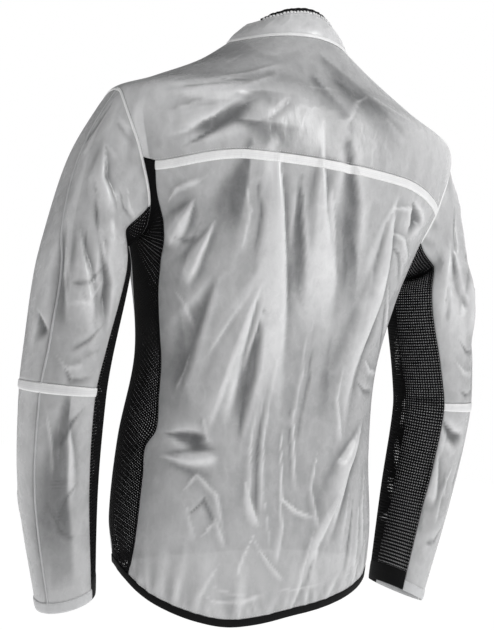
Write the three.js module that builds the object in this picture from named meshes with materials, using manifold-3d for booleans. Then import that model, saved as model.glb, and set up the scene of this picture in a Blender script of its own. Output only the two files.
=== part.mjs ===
// Translucent rain jacket with black net side and sleeve panels, standing in its worn shape.
// Millimetres, +Z up. The wearer would face -Y, the wearer's left is +X.
// The origin is the middle of the neckline.
import * as THREE from 'three';
import { mergeVertices } from 'three/addons/utils/BufferGeometryUtils.js';
import Manifold from 'manifold-3d';

// Named sizes.
const CLOTH = 1.2;            // wall of the clear cloth
const NET = 1.4;              // wall of the net
const SEAM = 0.16;            // what each piece is held back from the middle of a seam
const LIFT = 0.3;             // clear air between a piece and what lies on it
const TAPE = 1.0;             // thickness of the seam tapes
const HEM_TALL = 9;           // black hem elastic, height and thickness
const HEM_THICK = 3;
const NECK_TALL = 6;          // black elastic on the back of the collar's top edge
const NECK_THICK = 2.6;
const ZIP_EDGE = 5;           // front panel edge, from the middle of the zip
const ZIP_HEM = 15;           // inner edge of the zip tape, from the middle of the zip
const ZIP_TEETH = 1.3;        // toothed edge of the zip tape, from the middle of the zip
const YOKE_TAPE_S = 0.020;    // height of the yoke tape, as a share of the back panel
const UNDERARM_S = 0.70;      // row of the back panel level with the front end of the net's top
const SLEEVE_BLEND = 0.32;    // share of the sleeve over which the armhole turns into a round tube
const CUFF_ELASTIC = 2;       // thickness of the black elastic at the end of the sleeve net
const SLIDER_AT = 0.62;       // where the zip slider stands, as a share of the collar's height
const CUFF_SLANT = 8;         // how far the outer side of the cuff hangs below its middle
const RAD = Math.PI / 180;

function table(names, rows) {
  return rows.map((row) => Object.fromEntries(names.map((name, i) => [name, row[i]])));
}

// Levels of the body from the hem (v 0) to the neckline (v 1). Half width a, shift cx and sideways
// tilt of the level; depth and height at the side (ys, zs), the middle of the back (yb, zb) and the
// middle of the front (yf, zf); n is how square the level is.
const BODY = table(['at', 'a', 'cx', 'tilt', 'ys', 'zs', 'yb', 'zb', 'yf', 'zf', 'n'], [
  [0.00, 168, 2, 0.06, -8, -652, 106, -702, -118, -655, 2.25],
  [0.10, 171, 6, 0.04, -8, -596, 111, -634, -124, -598, 2.3],
  [0.25, 164, 10, 0.02, -6, -504, 104, -526, -118, -504, 2.4],
  [0.42, 160, 3, 0.00, -4, -400, 99, -414, -112, -405, 2.3],
  [0.58, 178, 1, -0.01, 0, -305, 112, -308, -118, -318, 2.3],
  [0.68, 200, 0, -0.02, 2, -240, 119, -238, -122, -250, 2.4],
  [0.80, 228, 0, -0.04, 6, -172, 122, -155, -116, -178, 2.5],
  [0.88, 238, 0, -0.045, 12, -106, 114, -90, -100, -122, 2.4],
  [0.93, 184, 0, -0.04, 9, -77, 96, -57, -82, -92, 2.2],
  [0.97, 122, 0, -0.03, 4, -45, 77, -24, -68, -64, 2.1],
  [1.00, 82, 0, -0.02, 0, -16, 62, -3, -58, -42, 2.0],
]);

// How far the hem lies above its level, by degrees round, because it hangs unevenly.
const HEM_LINE = table(['at', 'up'], [
  [-90, 0], [-50, 3], [-15, 12], [5, 2], [27, -9], [60, -8], [78, 3], [92, 11], [112, 11],
  [130, 7], [150, 3], [180, 0], [270, 0],
]);
const HEM_LINE_REACH = 0.12;  // level at which the hem's unevenness has died away

// Levels of the collar above the neckline, as a share h of its height.
const COLLAR = table(['at', 'a', 'ys', 'zs', 'yb', 'zb', 'yf', 'zf'], [
  [0.00, 82, 0, -16, 62, -3, -58, -42],
  [0.35, 76, 0, -6, 60, 9, -57, -32],
  [0.70, 67, 0, 3, 54, 20, -54, -22],
  [1.00, 58, 0, 11, 46, 30, -50, -13],
]);

// Middle line and half widths (out from the body, and to the back) of a sleeve, shoulder to cuff.
const SLEEVE = table(['at', 'x', 'y', 'z', 'out', 'back'], [
  [0.00, 206, 6, -158, 32, 68],
  [0.15, 239, -4, -215, 44, 65],
  [0.30, 253, -2, -300, 54, 61],
  [0.50, 267, 3, -405, 51, 56],
  [0.60, 270, 4, -455, 50, 53],
  [0.80, 262, -4, -565, 46, 49],
  [1.00, 241, -4, -694, 34, 42],
]);

// Armhole loop in body coordinates: top and bottom level, degrees to the back and to the front.
const ARMHOLE = { top: 0.885, under: 0.64, back: 23, front: 27, n: 2.3 };

// Seams along the sleeve, as turns round it from the outer side (0) by the back (0.25).
const SLEEVE_SEAMS = table(['at', 'long', 'netBack', 'netFront'], [
  [0.00, 0.000, 0.333, 0.765],
  [0.17, 0.025, 0.340, 0.745],
  [0.32, 0.085, 0.348, 0.730],
  [0.48, 0.100, 0.325, 0.745],
  [0.60, 0.088, 0.308, 0.760],
  [0.80, 0.078, 0.318, 0.765],
  [1.00, 0.070, 0.330, 0.740],
]);

// Back edge of the side net: degrees round from the side, by level.
const NET_BACK = table(['at', 'deg'], [
  [0.000, 9], [0.078, 16.7], [0.20, 19], [0.25, 18], [0.288, 24], [0.35, 21], [0.433, 17],
  [0.53, 16], [0.60, 20], [0.65, 26], [0.716, 26], [0.778, 29],
]);
const NET_FRONT_DEG = -22;    // front edge of the side net below the armhole

// Big folds. A fold runs by three points, (deg, v) on the body or (t, w) on a sleeve; it is `half`
// wide to either side and stands `high` above the cloth there, or below it where that is negative.
const FOLD = ['a0', 'b0', 'a1', 'b1', 'a2', 'b2', 'half', 'high'];
const BODY_FOLDS = table(FOLD, [
  [71.8, 0.858, 72.0, 0.680, 78.5, 0.430, 24, 7],        // middle ridge of the back
  [78.6, 0.778, 80.6, 0.669, 85.0, 0.540, 16, -5],       // trough on its right
  [85.9, 0.865, 87.8, 0.716, 98.0, 0.573, 20, 5],        // second ridge
  [94.8, 0.851, 100.1, 0.740, 103.5, 0.600, 30, -6],     // dark hollow by the right shoulder blade
  [116.3, 0.778, 122.0, 0.580, 112.0, 0.260, 28, 8],     // long soft ridge down the right
  [123.6, 0.770, 131.0, 0.740, 136.0, 0.715, 20, -8],    // hollow under the right arm
  [67.0, 0.600, 58.5, 0.450, 56.0, 0.300, 24, 7],        // ridge from the middle down to the left
  [69.5, 0.555, 67.2, 0.427, 62.5, 0.285, 18, -5],       // trough beside it
  [50.0, 0.600, 37.0, 0.470, 27.0, 0.350, 32, -6],       // hollow over the left side
  [27.0, 0.245, 43.0, 0.255, 58.0, 0.268, 16, 6],        // ridge across, low on the left
  [26.6, 0.285, 41.1, 0.292, 53.0, 0.290, 16, -6],       // hollow above it
  [43.1, 0.716, 37.1, 0.674, 26.0, 0.617, 18, 6],        // short ridge by the left armhole
  [49.9, 0.682, 40.1, 0.607, 32.0, 0.555, 18, 5],        // next short ridge
  [28.0, 0.872, 49.0, 0.880, 66.0, 0.893, 16, 4],        // ridge across the left of the yoke
  [38.0, 0.812, 53.0, 0.840, 66.8, 0.877, 18, -5],       // trough under it
  [134.0, 0.340, 119.3, 0.243, 104.0, 0.100, 22, 6],     // ridge to the hem on the right
  [-40.0, 0.600, -52.0, 0.450, -60.0, 0.260, 26, 6],     // left front, from the armhole down
  [-141.0, 0.610, -130.0, 0.440, -122.0, 0.280, 26, 6],  // right front
  [-62.0, 0.250, -45.0, 0.200, -30.0, 0.130, 22, -5],    // left front, low
  [-118.0, 0.210, -134.0, 0.160, -150.0, 0.110, 22, -5], // right front, low
]);
const SLEEVE_FOLDS_LEFT = table(FOLD, [
  [0.125, 0.240, 0.190, 0.340, 0.235, 0.460, 22, -7],    // long hollow on the upper sleeve
  [0.070, 0.230, 0.100, 0.340, 0.150, 0.470, 16, 5],     // ridges on both sides of it
  [0.190, 0.240, 0.270, 0.340, 0.290, 0.460, 16, 5],
  [0.120, 0.090, 0.160, 0.150, 0.250, 0.200, 16, -6],    // hollow by the armhole seam
  [0.010, 0.410, 0.060, 0.450, 0.090, 0.480, 14, 4],     // above the elbow
  [0.200, 0.620, 0.215, 0.700, 0.215, 0.820, 20, -4],    // down the lower sleeve
]);
const SLEEVE_FOLDS_RIGHT = table(FOLD, [
  [0.110, 0.230, 0.150, 0.320, 0.160, 0.440, 22, -6],
  [0.060, 0.210, 0.070, 0.330, 0.090, 0.470, 16, 5],
  [0.230, 0.150, 0.240, 0.260, 0.200, 0.360, 16, 5],
  [0.330, 0.600, 0.250, 0.640, 0.170, 0.650, 14, 5],
  [0.300, 0.680, 0.290, 0.760, 0.280, 0.830, 16, -5],
]);

// Rows and columns of the mesh. The armhole has one list of turns, shared by all that meet it.
const ARM_STEPS = [0, 0.05, 0.10, 0.16, 0.222, 0.277, 0.333, 0.39, 0.45, 0.505, 0.56,
  0.61, 0.66, 0.71, 0.765, 0.82, 0.88, 0.94, 1];
const ARM_LONG = 0, ARM_YOKE = 4, ARM_NET_BACK = 6, ARM_NET_TOP = 10, ARM_NET_FRONT = 14;
const ARM_SHOULDER = 17, ARM_LAST = 18;
const SHOULDER_ROWS = 3, EDGE_ROWS = 18, FRONT_COLUMNS = 8, BACK_COLUMNS = 16, NET_COLUMNS = 5;
const COLLAR_ROWS = 3;
const SLEEVE_ROWS = [0, 0.035, 0.07, 0.11, 0.15, 0.19, 0.23, 0.275, 0.32, 0.37, 0.42, 0.47, 0.52,
  0.57, 0.588, 0.63, 0.68, 0.73, 0.78, 0.83, 0.88, 0.925, 0.963, 0.98, 1];
const ELBOW = 13, ELBOW_TAPE = 14, CUFF_NET = 22, CUFF_HEM = 23, SLEEVE_END = 24;

const vec = (x, y, z) => new THREE.Vector3(x, y, z);
const lerp = (a, b, k) => a + (b - a) * k;
const smooth = (k) => { const q = Math.min(1, Math.max(0, k)); return q * q * (3 - 2 * q); };
const mixPair = (p, q, k) => [lerp(p[0], q[0], k), lerp(p[1], q[1], k)];

// Value of one column of a table at x, on a smooth curve through its rows.
function read(rows, name, x) {
  const at = Math.min(rows.at(-1).at, Math.max(rows[0].at, x));
  let i = 0;
  while (i < rows.length - 2 && at > rows[i + 1].at) i++;
  const slope = (k) => {
    const a = rows[Math.max(0, k - 1)], b = rows[Math.min(rows.length - 1, k + 1)];
    return (b[name] - a[name]) / (b.at - a.at);
  };
  const p = rows[i], q = rows[i + 1], h = q.at - p.at, s = (at - p.at) / h;
  return (2 * s ** 3 - 3 * s ** 2 + 1) * p[name] + (s ** 3 - 2 * s ** 2 + s) * h * slope(i)
    + (3 * s ** 2 - 2 * s ** 3) * q[name] + (s ** 3 - s ** 2) * h * slope(i + 1);
}

// Level of a closed tube: a rounded rectangle in plan that rises or falls to the back and front.
function level(rows, at, deg, n, cx, tilt) {
  const c = Math.cos(deg * RAD), s = Math.sin(deg * RAD);
  const r = (Math.abs(c) ** n + Math.abs(s) ** n) ** (-1 / n);
  const ys = read(rows, 'ys', at), zs = read(rows, 'zs', at);
  const end = s > 0 ? [read(rows, 'yb', at) - ys, read(rows, 'zb', at)]
    : [ys - read(rows, 'yf', at), read(rows, 'zf', at)];
  const x = read(rows, 'a', at) * r * c;
  return vec(x + cx, ys + end[0] * r * s, lerp(zs, end[1], s * s) - tilt * x);
}

function bodyShape(deg, v) {
  const p = level(BODY, v, deg, read(BODY, 'n', v), read(BODY, 'cx', v), read(BODY, 'tilt', v));
  const round = (((deg + 90) % 360) + 360) % 360 - 90;
  p.z += read(HEM_LINE, 'up', round) * (1 - smooth(v / HEM_LINE_REACH));
  return p;
}

// Push a point out of its surface by the folds that it lies in.
function fold(shape, lines, a, b, stepA, stepB) {
  const p = shape(a, b);
  let push = 0;
  for (const line of lines) {
    const d = Math.min(line.first.closestPointToPoint(p, true, vec(0, 0, 0)).distanceTo(p),
      line.second.closestPointToPoint(p, true, vec(0, 0, 0)).distanceTo(p));
    if (d < line.half) push += line.high * (1 - (d / line.half) ** 2) ** 2;
  }
  if (push === 0) return p;
  const du = shape(a + stepA, b).sub(shape(a - stepA, b));
  const dv = shape(a, b + stepB).sub(shape(a, b - stepB));
  return p.addScaledVector(du.cross(dv).normalize(), push);
}

function foldLines(shape, rows) {
  return rows.map((f) => {
    const [p, q, r] = [shape(f.a0, f.b0), shape(f.a1, f.b1), shape(f.a2, f.b2)];
    return { first: new THREE.Line3(p, q), second: new THREE.Line3(q, r), half: f.half, high: f.high };
  });
}

const bodyLines = foldLines(bodyShape, BODY_FOLDS);
const body = (deg, v) => fold(bodyShape, bodyLines, deg, v, 0.5, 0.002);

// Armhole in body coordinates. Side is 1 for the wearer's left and -1 for the right.
function armholeAt(t) {
  const c = Math.cos(2 * Math.PI * t), s = Math.sin(2 * Math.PI * t), n = ARMHOLE.n;
  const r = (Math.abs(c) ** n + Math.abs(s) ** n) ** (-1 / n);
  const mid = (ARMHOLE.top + ARMHOLE.under) / 2, tall = (ARMHOLE.top - ARMHOLE.under) / 2;
  return [(s > 0 ? ARMHOLE.back : ARMHOLE.front) * r * s, mid + tall * r * c];
}
const onSide = (side, pair) => [side > 0 ? pair[0] : 180 - pair[0], pair[1]];

// Sleeve: the armhole carried along the arm, turning into a round tube about the middle line.
function sleeveShape(side, t, w) {
  const mid = (at) => vec(read(SLEEVE, 'x', at), read(SLEEVE, 'y', at), read(SLEEVE, 'z', at));
  const axis = mid(Math.min(1, w + 0.001)).sub(mid(Math.max(0, w - 0.001))).normalize();
  const out = vec(0, 1, 0).cross(axis).normalize();
  if (out.x < 0) out.negate();
  const back = axis.clone().cross(out);
  if (back.y < 0) back.negate();
  const c = Math.cos(2 * Math.PI * t), s = Math.sin(2 * Math.PI * t), centre = mid(w);
  const ring = centre.clone().addScaledVector(out, read(SLEEVE, 'out', w) * c)
    .addScaledVector(back, read(SLEEVE, 'back', w) * s)
    .addScaledVector(axis, CUFF_SLANT * c * smooth((w - 0.8) / 0.2));
  ring.x *= side;
  const shift = centre.sub(mid(0));
  shift.x *= side;
  const start = bodyShape(...onSide(side, armholeAt(t))).add(shift);
  return start.lerp(ring, smooth(w / SLEEVE_BLEND));
}

function sleeveSurface(side) {
  const shape = (t, w) => sleeveShape(side, t, w);
  const lines = foldLines(shape, side > 0 ? SLEEVE_FOLDS_LEFT : SLEEVE_FOLDS_RIGHT);
  for (const line of lines) line.high *= side;   // the cross product turns over on the right
  return (t, w) => (w === 0 ? body(...onSide(side, armholeAt(t)))
    : fold(shape, lines, t, w, 0.004, w < 0.995 ? 0.004 : -0.004));
}

const collar = (deg, h) => level(COLLAR, h, deg, 2, 0, -0.02);

// Seams of the body, each a list of (deg, v) points.
const steps = (n) => Array.from({ length: n + 1 }, (_, i) => i / n);
const armholeRun = (from, to) => ARM_STEPS.slice(from, to + 1).map(armholeAt);
const shoulderTop = [-25, 1];
const netTop = armholeAt(ARM_STEPS[ARM_NET_TOP]);
const yokeCorner = armholeAt(ARM_STEPS[ARM_YOKE]);
const netInner = [NET_BACK.at(-1).deg, NET_BACK.at(-1).at];

const frontEdge = steps(EDGE_ROWS).map((k) => [
  lerp(netTop[0], NET_FRONT_DEG, smooth((1 - k) * 3)), k * netTop[1]]);
const shoulderSeam = steps(SHOULDER_ROWS).map((k) => mixPair(armholeAt(ARM_STEPS[ARM_SHOULDER]),
  shoulderTop, k));
const yokeSeamLevel = (deg) => netInner[1]
  + 0.024 * smooth((Math.min(deg, 180 - deg) - netInner[0]) / 34);

// Rows of the back panel and the side nets, as a share of the height up to the yoke seam.
const upperCells = ARM_NET_TOP - ARM_YOKE;
const BACK_ROWS = [
  ...steps(EDGE_ROWS).map((k) => k * UNDERARM_S),
  ...steps(upperCells - 1).slice(1).map((k) => lerp(UNDERARM_S, 1 - YOKE_TAPE_S, k)),
  1];
const netBackEdge = BACK_ROWS.map((s) => [read(NET_BACK, 'deg', s * netInner[1]), s * netInner[1]]);
const netFrontSide = [...frontEdge, ...armholeRun(ARM_YOKE, ARM_NET_TOP).reverse().slice(1)];

// Grids of (deg, v) for the panels of the body.
const backGrid = BACK_ROWS.map((s, i) => steps(BACK_COLUMNS).map((k) => {
  const [deg] = netBackEdge[i];
  const top = lerp(netInner[0], 180 - netInner[0], k);
  return [lerp(deg, 180 - deg, k), s * yokeSeamLevel(top)];
}));
const netGrid = (side) => netFrontSide.map((edge, i) => steps(NET_COLUMNS).map((k) =>
  onSide(side, mixPair(edge, netBackEdge[i], k))));
const frontSide = [...frontEdge, ...armholeRun(ARM_NET_TOP, ARM_SHOULDER).slice(1),
  ...shoulderSeam.slice(1)];
const centreDeg = (x, v) => -90 + Math.asin(x / read(BODY, 'a', v)) / RAD;
const frontGrid = (side) => frontSide.map(([deg, v]) => {
  const hem = centreDeg(ZIP_HEM, v);
  return [centreDeg(ZIP_EDGE, v), ...steps(FRONT_COLUMNS).map((k) => lerp(hem, deg, k))]
    .map((d) => (side > 0 ? [d, v] : [-180 - d, v]));
});

// Yoke: a patch between its seam below and the neckline, drawn out to its sides near them.
const yokeSide = [...armholeRun(0, ARM_YOKE).reverse(), ...shoulderSeam.slice(1)];
yokeSide.splice(ARM_YOKE + 1, 0, armholeAt(ARM_STEPS[ARM_SHOULDER]));
const yokeBottom = [
  ...steps(NET_COLUMNS).map((k) => mixPair(yokeCorner, netInner, k)),
  ...backGrid.at(-1).slice(1, -1),
  ...steps(NET_COLUMNS).reverse().map((k) => onSide(-1, mixPair(yokeCorner, netInner, k)))];
const yokeGrid = yokeSide.map((left, i) => {
  const s = i / (yokeSide.length - 1), right = onSide(-1, left), last = yokeBottom.length - 1;
  const startLeft = mixPair(yokeBottom[0], shoulderTop, s);
  const startRight = mixPair(yokeBottom[last], onSide(-1, shoulderTop), s);
  return yokeBottom.map((low, j) => {
    const u = j / last, high = [lerp(shoulderTop[0], 180 - shoulderTop[0], u), 1];
    const nearLeft = Math.max(0, 1 - 2 * u) ** 7, nearRight = Math.max(0, 2 * u - 1) ** 7;
    return mixPair(low, high, s).map((value, k) => value
      + (left[k] - startLeft[k]) * nearLeft + (right[k] - startRight[k]) * nearRight);
  });
});

// Sleeve panels: (t, w) grids between two seams, with the armhole's steps shared out between them.
function sleeveGrid(first, last, from, to, rowFrom, rowTo, turnsAfter) {
  const a = ARM_STEPS[from], b = ARM_STEPS[to];
  return SLEEVE_ROWS.slice(rowFrom, rowTo + 1).map((w) => {
    const start = read(SLEEVE_SEAMS, first, w), end = read(SLEEVE_SEAMS, last, w) + turnsAfter;
    return ARM_STEPS.slice(from, to + 1).map((t) => [lerp(start, end, (t - a) / (b - a)), w]);
  });
}

// A skin is a grid of points with the normal that all pieces meeting at a point share.
const skins = [];
const sums = new Map();
function skin(sheet, grid, surface, middle) {
  const points = grid.map((row) => row.map(([a, b]) => surface(a, b)));
  const rows = points.length - 1, columns = points[0].length - 1;
  const p = points[rows >> 1][columns >> 1], q = points[(rows >> 1) + 1][columns >> 1];
  const r = points[rows >> 1][(columns >> 1) + 1];
  const facing = r.clone().sub(p).cross(q.clone().sub(p));
  const turned = facing.dot(p.clone().sub(middle(p))) < 0;
  if (turned) for (const row of points) row.reverse();
  const made = { sheet, points, normals: null, turned };
  skins.push(made);
  return made;
}

const keyOf = (p) => [p.x, p.y, p.z].map((c) => Math.round(c * 50)).join(' ');
// At a seam between two sheets (body, sleeve, collar) the normal halves the angle between them.
const normalAt = (p) => Object.values(sums.get(keyOf(p)))
  .reduce((sum, n) => sum.add(n.clone().normalize()), vec(0, 0, 0)).normalize();
function shareNormals() {
  for (const { points, sheet } of skins) {
    for (let i = 0; i + 1 < points.length; i++) {
      for (let j = 0; j + 1 < points[0].length; j++) {
        const quad = [points[i][j], points[i][j + 1], points[i + 1][j + 1], points[i + 1][j]];
        quad.forEach((p, k) => {
          const next = quad[(k + 1) % 4].clone().sub(p), last = quad[(k + 3) % 4].clone().sub(p);
          const angle = next.angleTo(last), key = keyOf(p);
          if (!sums.has(key)) sums.set(key, {});
          const here = sums.get(key);
          here[sheet] ??= vec(0, 0, 0);
          here[sheet].add(next.cross(last).normalize().multiplyScalar(angle));
        });
      }
    }
  }
  for (const s of skins) {
    s.normals = s.points.map((row) => row.map(normalAt));
  }
}

// Hold the edge points of a skin back from its seams, square to both edge lines that meet there.
function heldBack({ points, normals }, gap) {
  const rows = points.length - 1, columns = points[0].length - 1;
  const inRow = (i) => (i === 0 ? 1 : i - 1), inColumn = (j) => (j === 0 ? 1 : j - 1);
  const pull = (i, j, k, l, inner) => {
    const p = points[i][j], across = points[k][l].clone().sub(p).cross(normals[i][j]).normalize();
    const inside = inner.reduce((sum, q) => sum.add(q), vec(0, 0, 0)).sub(p).sub(points[k][l]);
    return across.dot(inside) < 0 ? across.negate() : across;
  };
  return points.map((row, i) => row.map((p, j) => {
    const pulls = [];
    for (const l of [j - 1, j + 1]) {
      if ((i === 0 || i === rows) && row[l]) {
        pulls.push(pull(i, j, i, l, [points[inRow(i)][j], points[inRow(i)][l]]));
      }
    }
    for (const k of [i - 1, i + 1]) {
      if ((j === 0 || j === columns) && points[k]) {
        pulls.push(pull(i, j, k, j, [row[inColumn(j)], points[k][inColumn(j)]]));
      }
    }
    if (!pulls.length) return p.clone();
    const square = Math.max(0.15, 1 + pulls[0].dot(pulls[1]));
    return p.clone().add(pulls[0].clone().add(pulls[1]).multiplyScalar(gap / square));
  }));
}

// Closed wall between two grids of the same size, `over` outside and `under` inside.
function wall(over, under) {
  const rows = over.length, columns = over[0].length, position = [], index = [];
  const at = (side, i, j) => (side * rows + i) * columns + j;
  for (const grid of [over, under]) for (const row of grid) for (const p of row) position.push(p.x, p.y, p.z);
  for (let i = 0; i + 1 < rows; i++) {
    for (let j = 0; j + 1 < columns; j++) {
      for (const [side, turn] of [[0, false], [1, true]]) {
        const q = [at(side, i, j), at(side, i, j + 1), at(side, i + 1, j + 1), at(side, i + 1, j)];
        const tri = [[q[0], q[1], q[2]], [q[0], q[2], q[3]]];
        for (const t of tri) index.push(...(turn ? t.reverse() : t));
      }
    }
  }
  const rim = [];
  for (let j = 0; j + 1 < columns; j++) rim.push([0, j, 0, j + 1], [rows - 1, j + 1, rows - 1, j]);
  for (let i = 0; i + 1 < rows; i++) rim.push([i + 1, 0, i, 0], [i, columns - 1, i + 1, columns - 1]);
  for (const [i, j, k, l] of rim) {
    const a = at(0, i, j), b = at(0, k, l), c = at(1, k, l), d = at(1, i, j);
    index.push(a, c, b, a, d, c);
  }
  const geometry = new THREE.BufferGeometry();
  geometry.setAttribute('position', new THREE.Float32BufferAttribute(position, 3));
  geometry.setIndex(index);
  return geometry;
}

const moved = (points, normals, d) => points.map((row, i) => row.map((p, j) =>
  p.clone().addScaledVector(normals[i][j], d)));
const panel = (s, thick) => {
  const held = heldBack(s, SEAM);
  return wall(held, moved(held, s.normals, -thick));
};
const layer = (s, from, to) => wall(moved(s.points, s.normals, to), moved(s.points, s.normals, from));

// Some rows of one skin, or of two skins side by side in the order in which they were laid out.
function rowsOf(from, to, first, second) {
  const order = !second ? [first] : first.turned ? [second, first] : [first, second];
  const pick = (name) => first[name].slice(from, to + 1).map((_, i) =>
    order.flatMap((s, k) => s[name][from + i].slice(k)));
  return { points: pick('points'), normals: pick('normals') };
}

// Ribbon hung on an edge of the cloth: `tall(i)` beyond the edge, from `under` to `over` through it.
function ribbon(edge, beyond, tall, over, under) {
  const normals = edge.map(normalAt), last = edge.length - 1;
  const away = edge.map((p, i) => {
    const along = edge[Math.min(last, i + 1)].clone().sub(edge[Math.max(0, i - 1)]).normalize();
    const across = along.cross(normals[i]).normalize();
    return across.dot(beyond[i]) < 0 ? across.negate() : across;
  });
  const line = (d, n) => edge.map((p, i) => p.clone().addScaledVector(away[i], d(i))
    .addScaledVector(normals[i], n));
  const grid = (n) => {
    const pair = [line(() => SEAM, n), line(tall, n)];
    const facing = edge[1].clone().sub(edge[0]).cross(away[0]);
    return facing.dot(normals[0]) > 0 ? pair : pair.reverse();
  };
  return wall(grid(over), grid(under));
}

const material = {
  cloth: { color: 0xd9dcde, roughness: 0.35, transparent: true, opacity: 0.6 },
  tape: { color: 0xeceeef, roughness: 0.5 },
  net: { color: 0x101113, roughness: 0.85 },
  elastic: { color: 0x0c0d0e, roughness: 0.8 },
  zip: { color: 0x1a1b1d, roughness: 0.6 },
  metal: { color: 0x2a2c2e, roughness: 0.4, metalness: 0.6 },
};
const group = new THREE.Group();
function add(name, geometry, finish) {
  const mesh = new THREE.Mesh(geometry, new THREE.MeshStandardMaterial(material[finish]));
  mesh.name = name;
  group.add(mesh);
}

// Lay out all skins first, because a seam's normals come from every piece that meets there.
const bodyMiddle = (p) => vec(0, 0, p.z);
const backSkin = skin('body', backGrid, body, bodyMiddle);
const yokeSkin = skin('body', yokeGrid, body, (p) => vec(p.x * 0.5, 0, -180));
const sides = [['left', 1], ['right', -1]];
const bodySides = sides.map(([name, side]) => ({
  name, side,
  net: skin('body', netGrid(side), body, bodyMiddle),
  front: skin('body', frontGrid(side), body, bodyMiddle),
}));

const neckline = [
  ...frontGrid(1).at(-1), ...yokeGrid.at(-1).slice(1),
  ...frontGrid(-1).at(-1).map(([d, v]) => [d + 360, v]).reverse().slice(1)].map(([d]) => d);
const collarDeg = (x, h) => -90 + Math.asin(x / read(COLLAR, 'a', h)) / RAD;
const collarGrid = steps(COLLAR_ROWS).map((h) => {
  const ends = [collarDeg(ZIP_EDGE, h), collarDeg(ZIP_HEM, h)];
  return [...ends, ...neckline.slice(2, -2), 180 - ends[1], 180 - ends[0]].map((d) => [d, h]);
});
const collarSkin = skin('collar', collarGrid, collar, bodyMiddle);

const sleeves = sides.map(([name, side]) => {
  const surface = sleeveSurface(side);
  const centre = (p) => {
    const w = SLEEVE.reduce((best, row) => (Math.abs(row.z - p.z) < Math.abs(best.z - p.z) ? row : best));
    return vec(side * w.x, w.y, p.z);
  };
  const make = (...range) => skin('sleeve', sleeveGrid(...range), surface, centre);
  return {
    name,
    upperBack: make('long', 'netBack', ARM_LONG, ARM_NET_BACK, 0, ELBOW, 0),
    upperFront: make('netFront', 'long', ARM_NET_FRONT, ARM_LAST, 0, ELBOW, 1),
    lowerBack: make('long', 'netBack', ARM_LONG, ARM_NET_BACK, ELBOW, SLEEVE_END, 0),
    lowerFront: make('netFront', 'long', ARM_NET_FRONT, ARM_LAST, ELBOW, SLEEVE_END, 1),
    net: make('netBack', 'netFront', ARM_NET_BACK, ARM_NET_FRONT, 0, CUFF_NET, 0),
    cuffNet: make('netBack', 'netFront', ARM_NET_BACK, ARM_NET_FRONT, CUFF_NET, SLEEVE_END, 0),
  };
});
shareNormals();

// Body panels, seam tape and collar.
add('back_panel', panel(backSkin, CLOTH), 'cloth');
add('back_yoke', panel(yokeSkin, CLOTH), 'cloth');
for (const s of bodySides) {
  add(`side_net_${s.name}`, panel(s.net, NET), 'net');
  add(`front_${s.name}`, panel(s.front, CLOTH), 'cloth');
}
add('collar', panel(collarSkin, CLOTH), 'cloth');
const tapeRow = BACK_ROWS.length - 2;
add('yoke_tape', layer(rowsOf(tapeRow, tapeRow + 1, backSkin), LIFT, LIFT + TAPE), 'tape');

// Elastic below the hem, from the zip round to the zip, and on the back of the collar's top edge.
const hemRow = [...frontGrid(1)[0], ...netGrid(1)[0].slice(1), ...backGrid[0].slice(1),
  ...netGrid(-1)[0].slice().reverse().slice(1),
  ...frontGrid(-1)[0].map(([d, v]) => [d + 360, v]).reverse().slice(1)];
const hem = hemRow.map(([d, v]) => body(d, v));
add('hem_elastic', ribbon(hem, hem.map(() => vec(0, 0, -1)), () => HEM_TALL,
  0.3 * HEM_THICK, -0.7 * HEM_THICK), 'elastic');
const neckEdge = collarGrid.at(-1).filter(([d]) => d > 24 && d < 156);
const neckEnd = neckEdge.length - 1;
add('collar_elastic', ribbon(neckEdge.map(([d, h]) => collar(d, h)), neckEdge.map(() => vec(0, 0, 1)),
  (i) => lerp(2, NECK_TALL, smooth(Math.min(i, neckEnd - i) / 3)),
  0.5 * NECK_THICK, -0.5 * NECK_THICK), 'elastic');

// Sleeves.
for (const s of sleeves) {
  add(`sleeve_${s.name}_upper_back`, panel(s.upperBack, CLOTH), 'cloth');
  add(`sleeve_${s.name}_upper_front`, panel(s.upperFront, CLOTH), 'cloth');
  add(`sleeve_${s.name}_lower_back`, panel(s.lowerBack, CLOTH), 'cloth');
  add(`sleeve_${s.name}_lower_front`, panel(s.lowerFront, CLOTH), 'cloth');
  add(`sleeve_${s.name}_net`, panel(s.net, NET), 'net');
  add(`sleeve_${s.name}_cuff_elastic`, panel(s.cuffNet, CUFF_ELASTIC), 'elastic');
  add(`sleeve_${s.name}_elbow_tape`, layer(rowsOf(0, ELBOW_TAPE - ELBOW, s.lowerFront, s.lowerBack),
    LIFT, LIFT + TAPE), 'tape');
  add(`sleeve_${s.name}_cuff_hem`, layer(rowsOf(CUFF_HEM - ELBOW, SLEEVE_END - ELBOW, s.lowerFront,
    s.lowerBack), LIFT, LIFT + TAPE), 'cloth');
}

// Zip tapes behind the front edges, from the hem to the top of the collar.
for (const [name, side] of sides) {
  const across = (deg, h) => [ZIP_TEETH, ZIP_EDGE, ZIP_HEM].map((x) => {
    const d = deg(x, h);
    return side > 0 ? d : -180 - d;
  });
  const rows = [
    ...frontSide.map(([, v]) => across(centreDeg, v).map((d) => body(d, v))),
    ...steps(COLLAR_ROWS).slice(1).map((h) => across(collarDeg, h).map((d) => collar(d, h)))];
  const strip = {
    points: rows,
    normals: rows.map(([, edge, hemSide]) => [normalAt(edge), normalAt(edge), normalAt(hemSide)]),
  };
  if (side < 0) for (const row of [...strip.points, ...strip.normals]) row.reverse();
  const held = heldBack(strip, SEAM);
  add(`zip_tape_${name}`, wall(moved(held, strip.normals, -CLOTH - LIFT),
    moved(held, strip.normals, -CLOTH - LIFT - TAPE)), 'zip');
}

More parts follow.
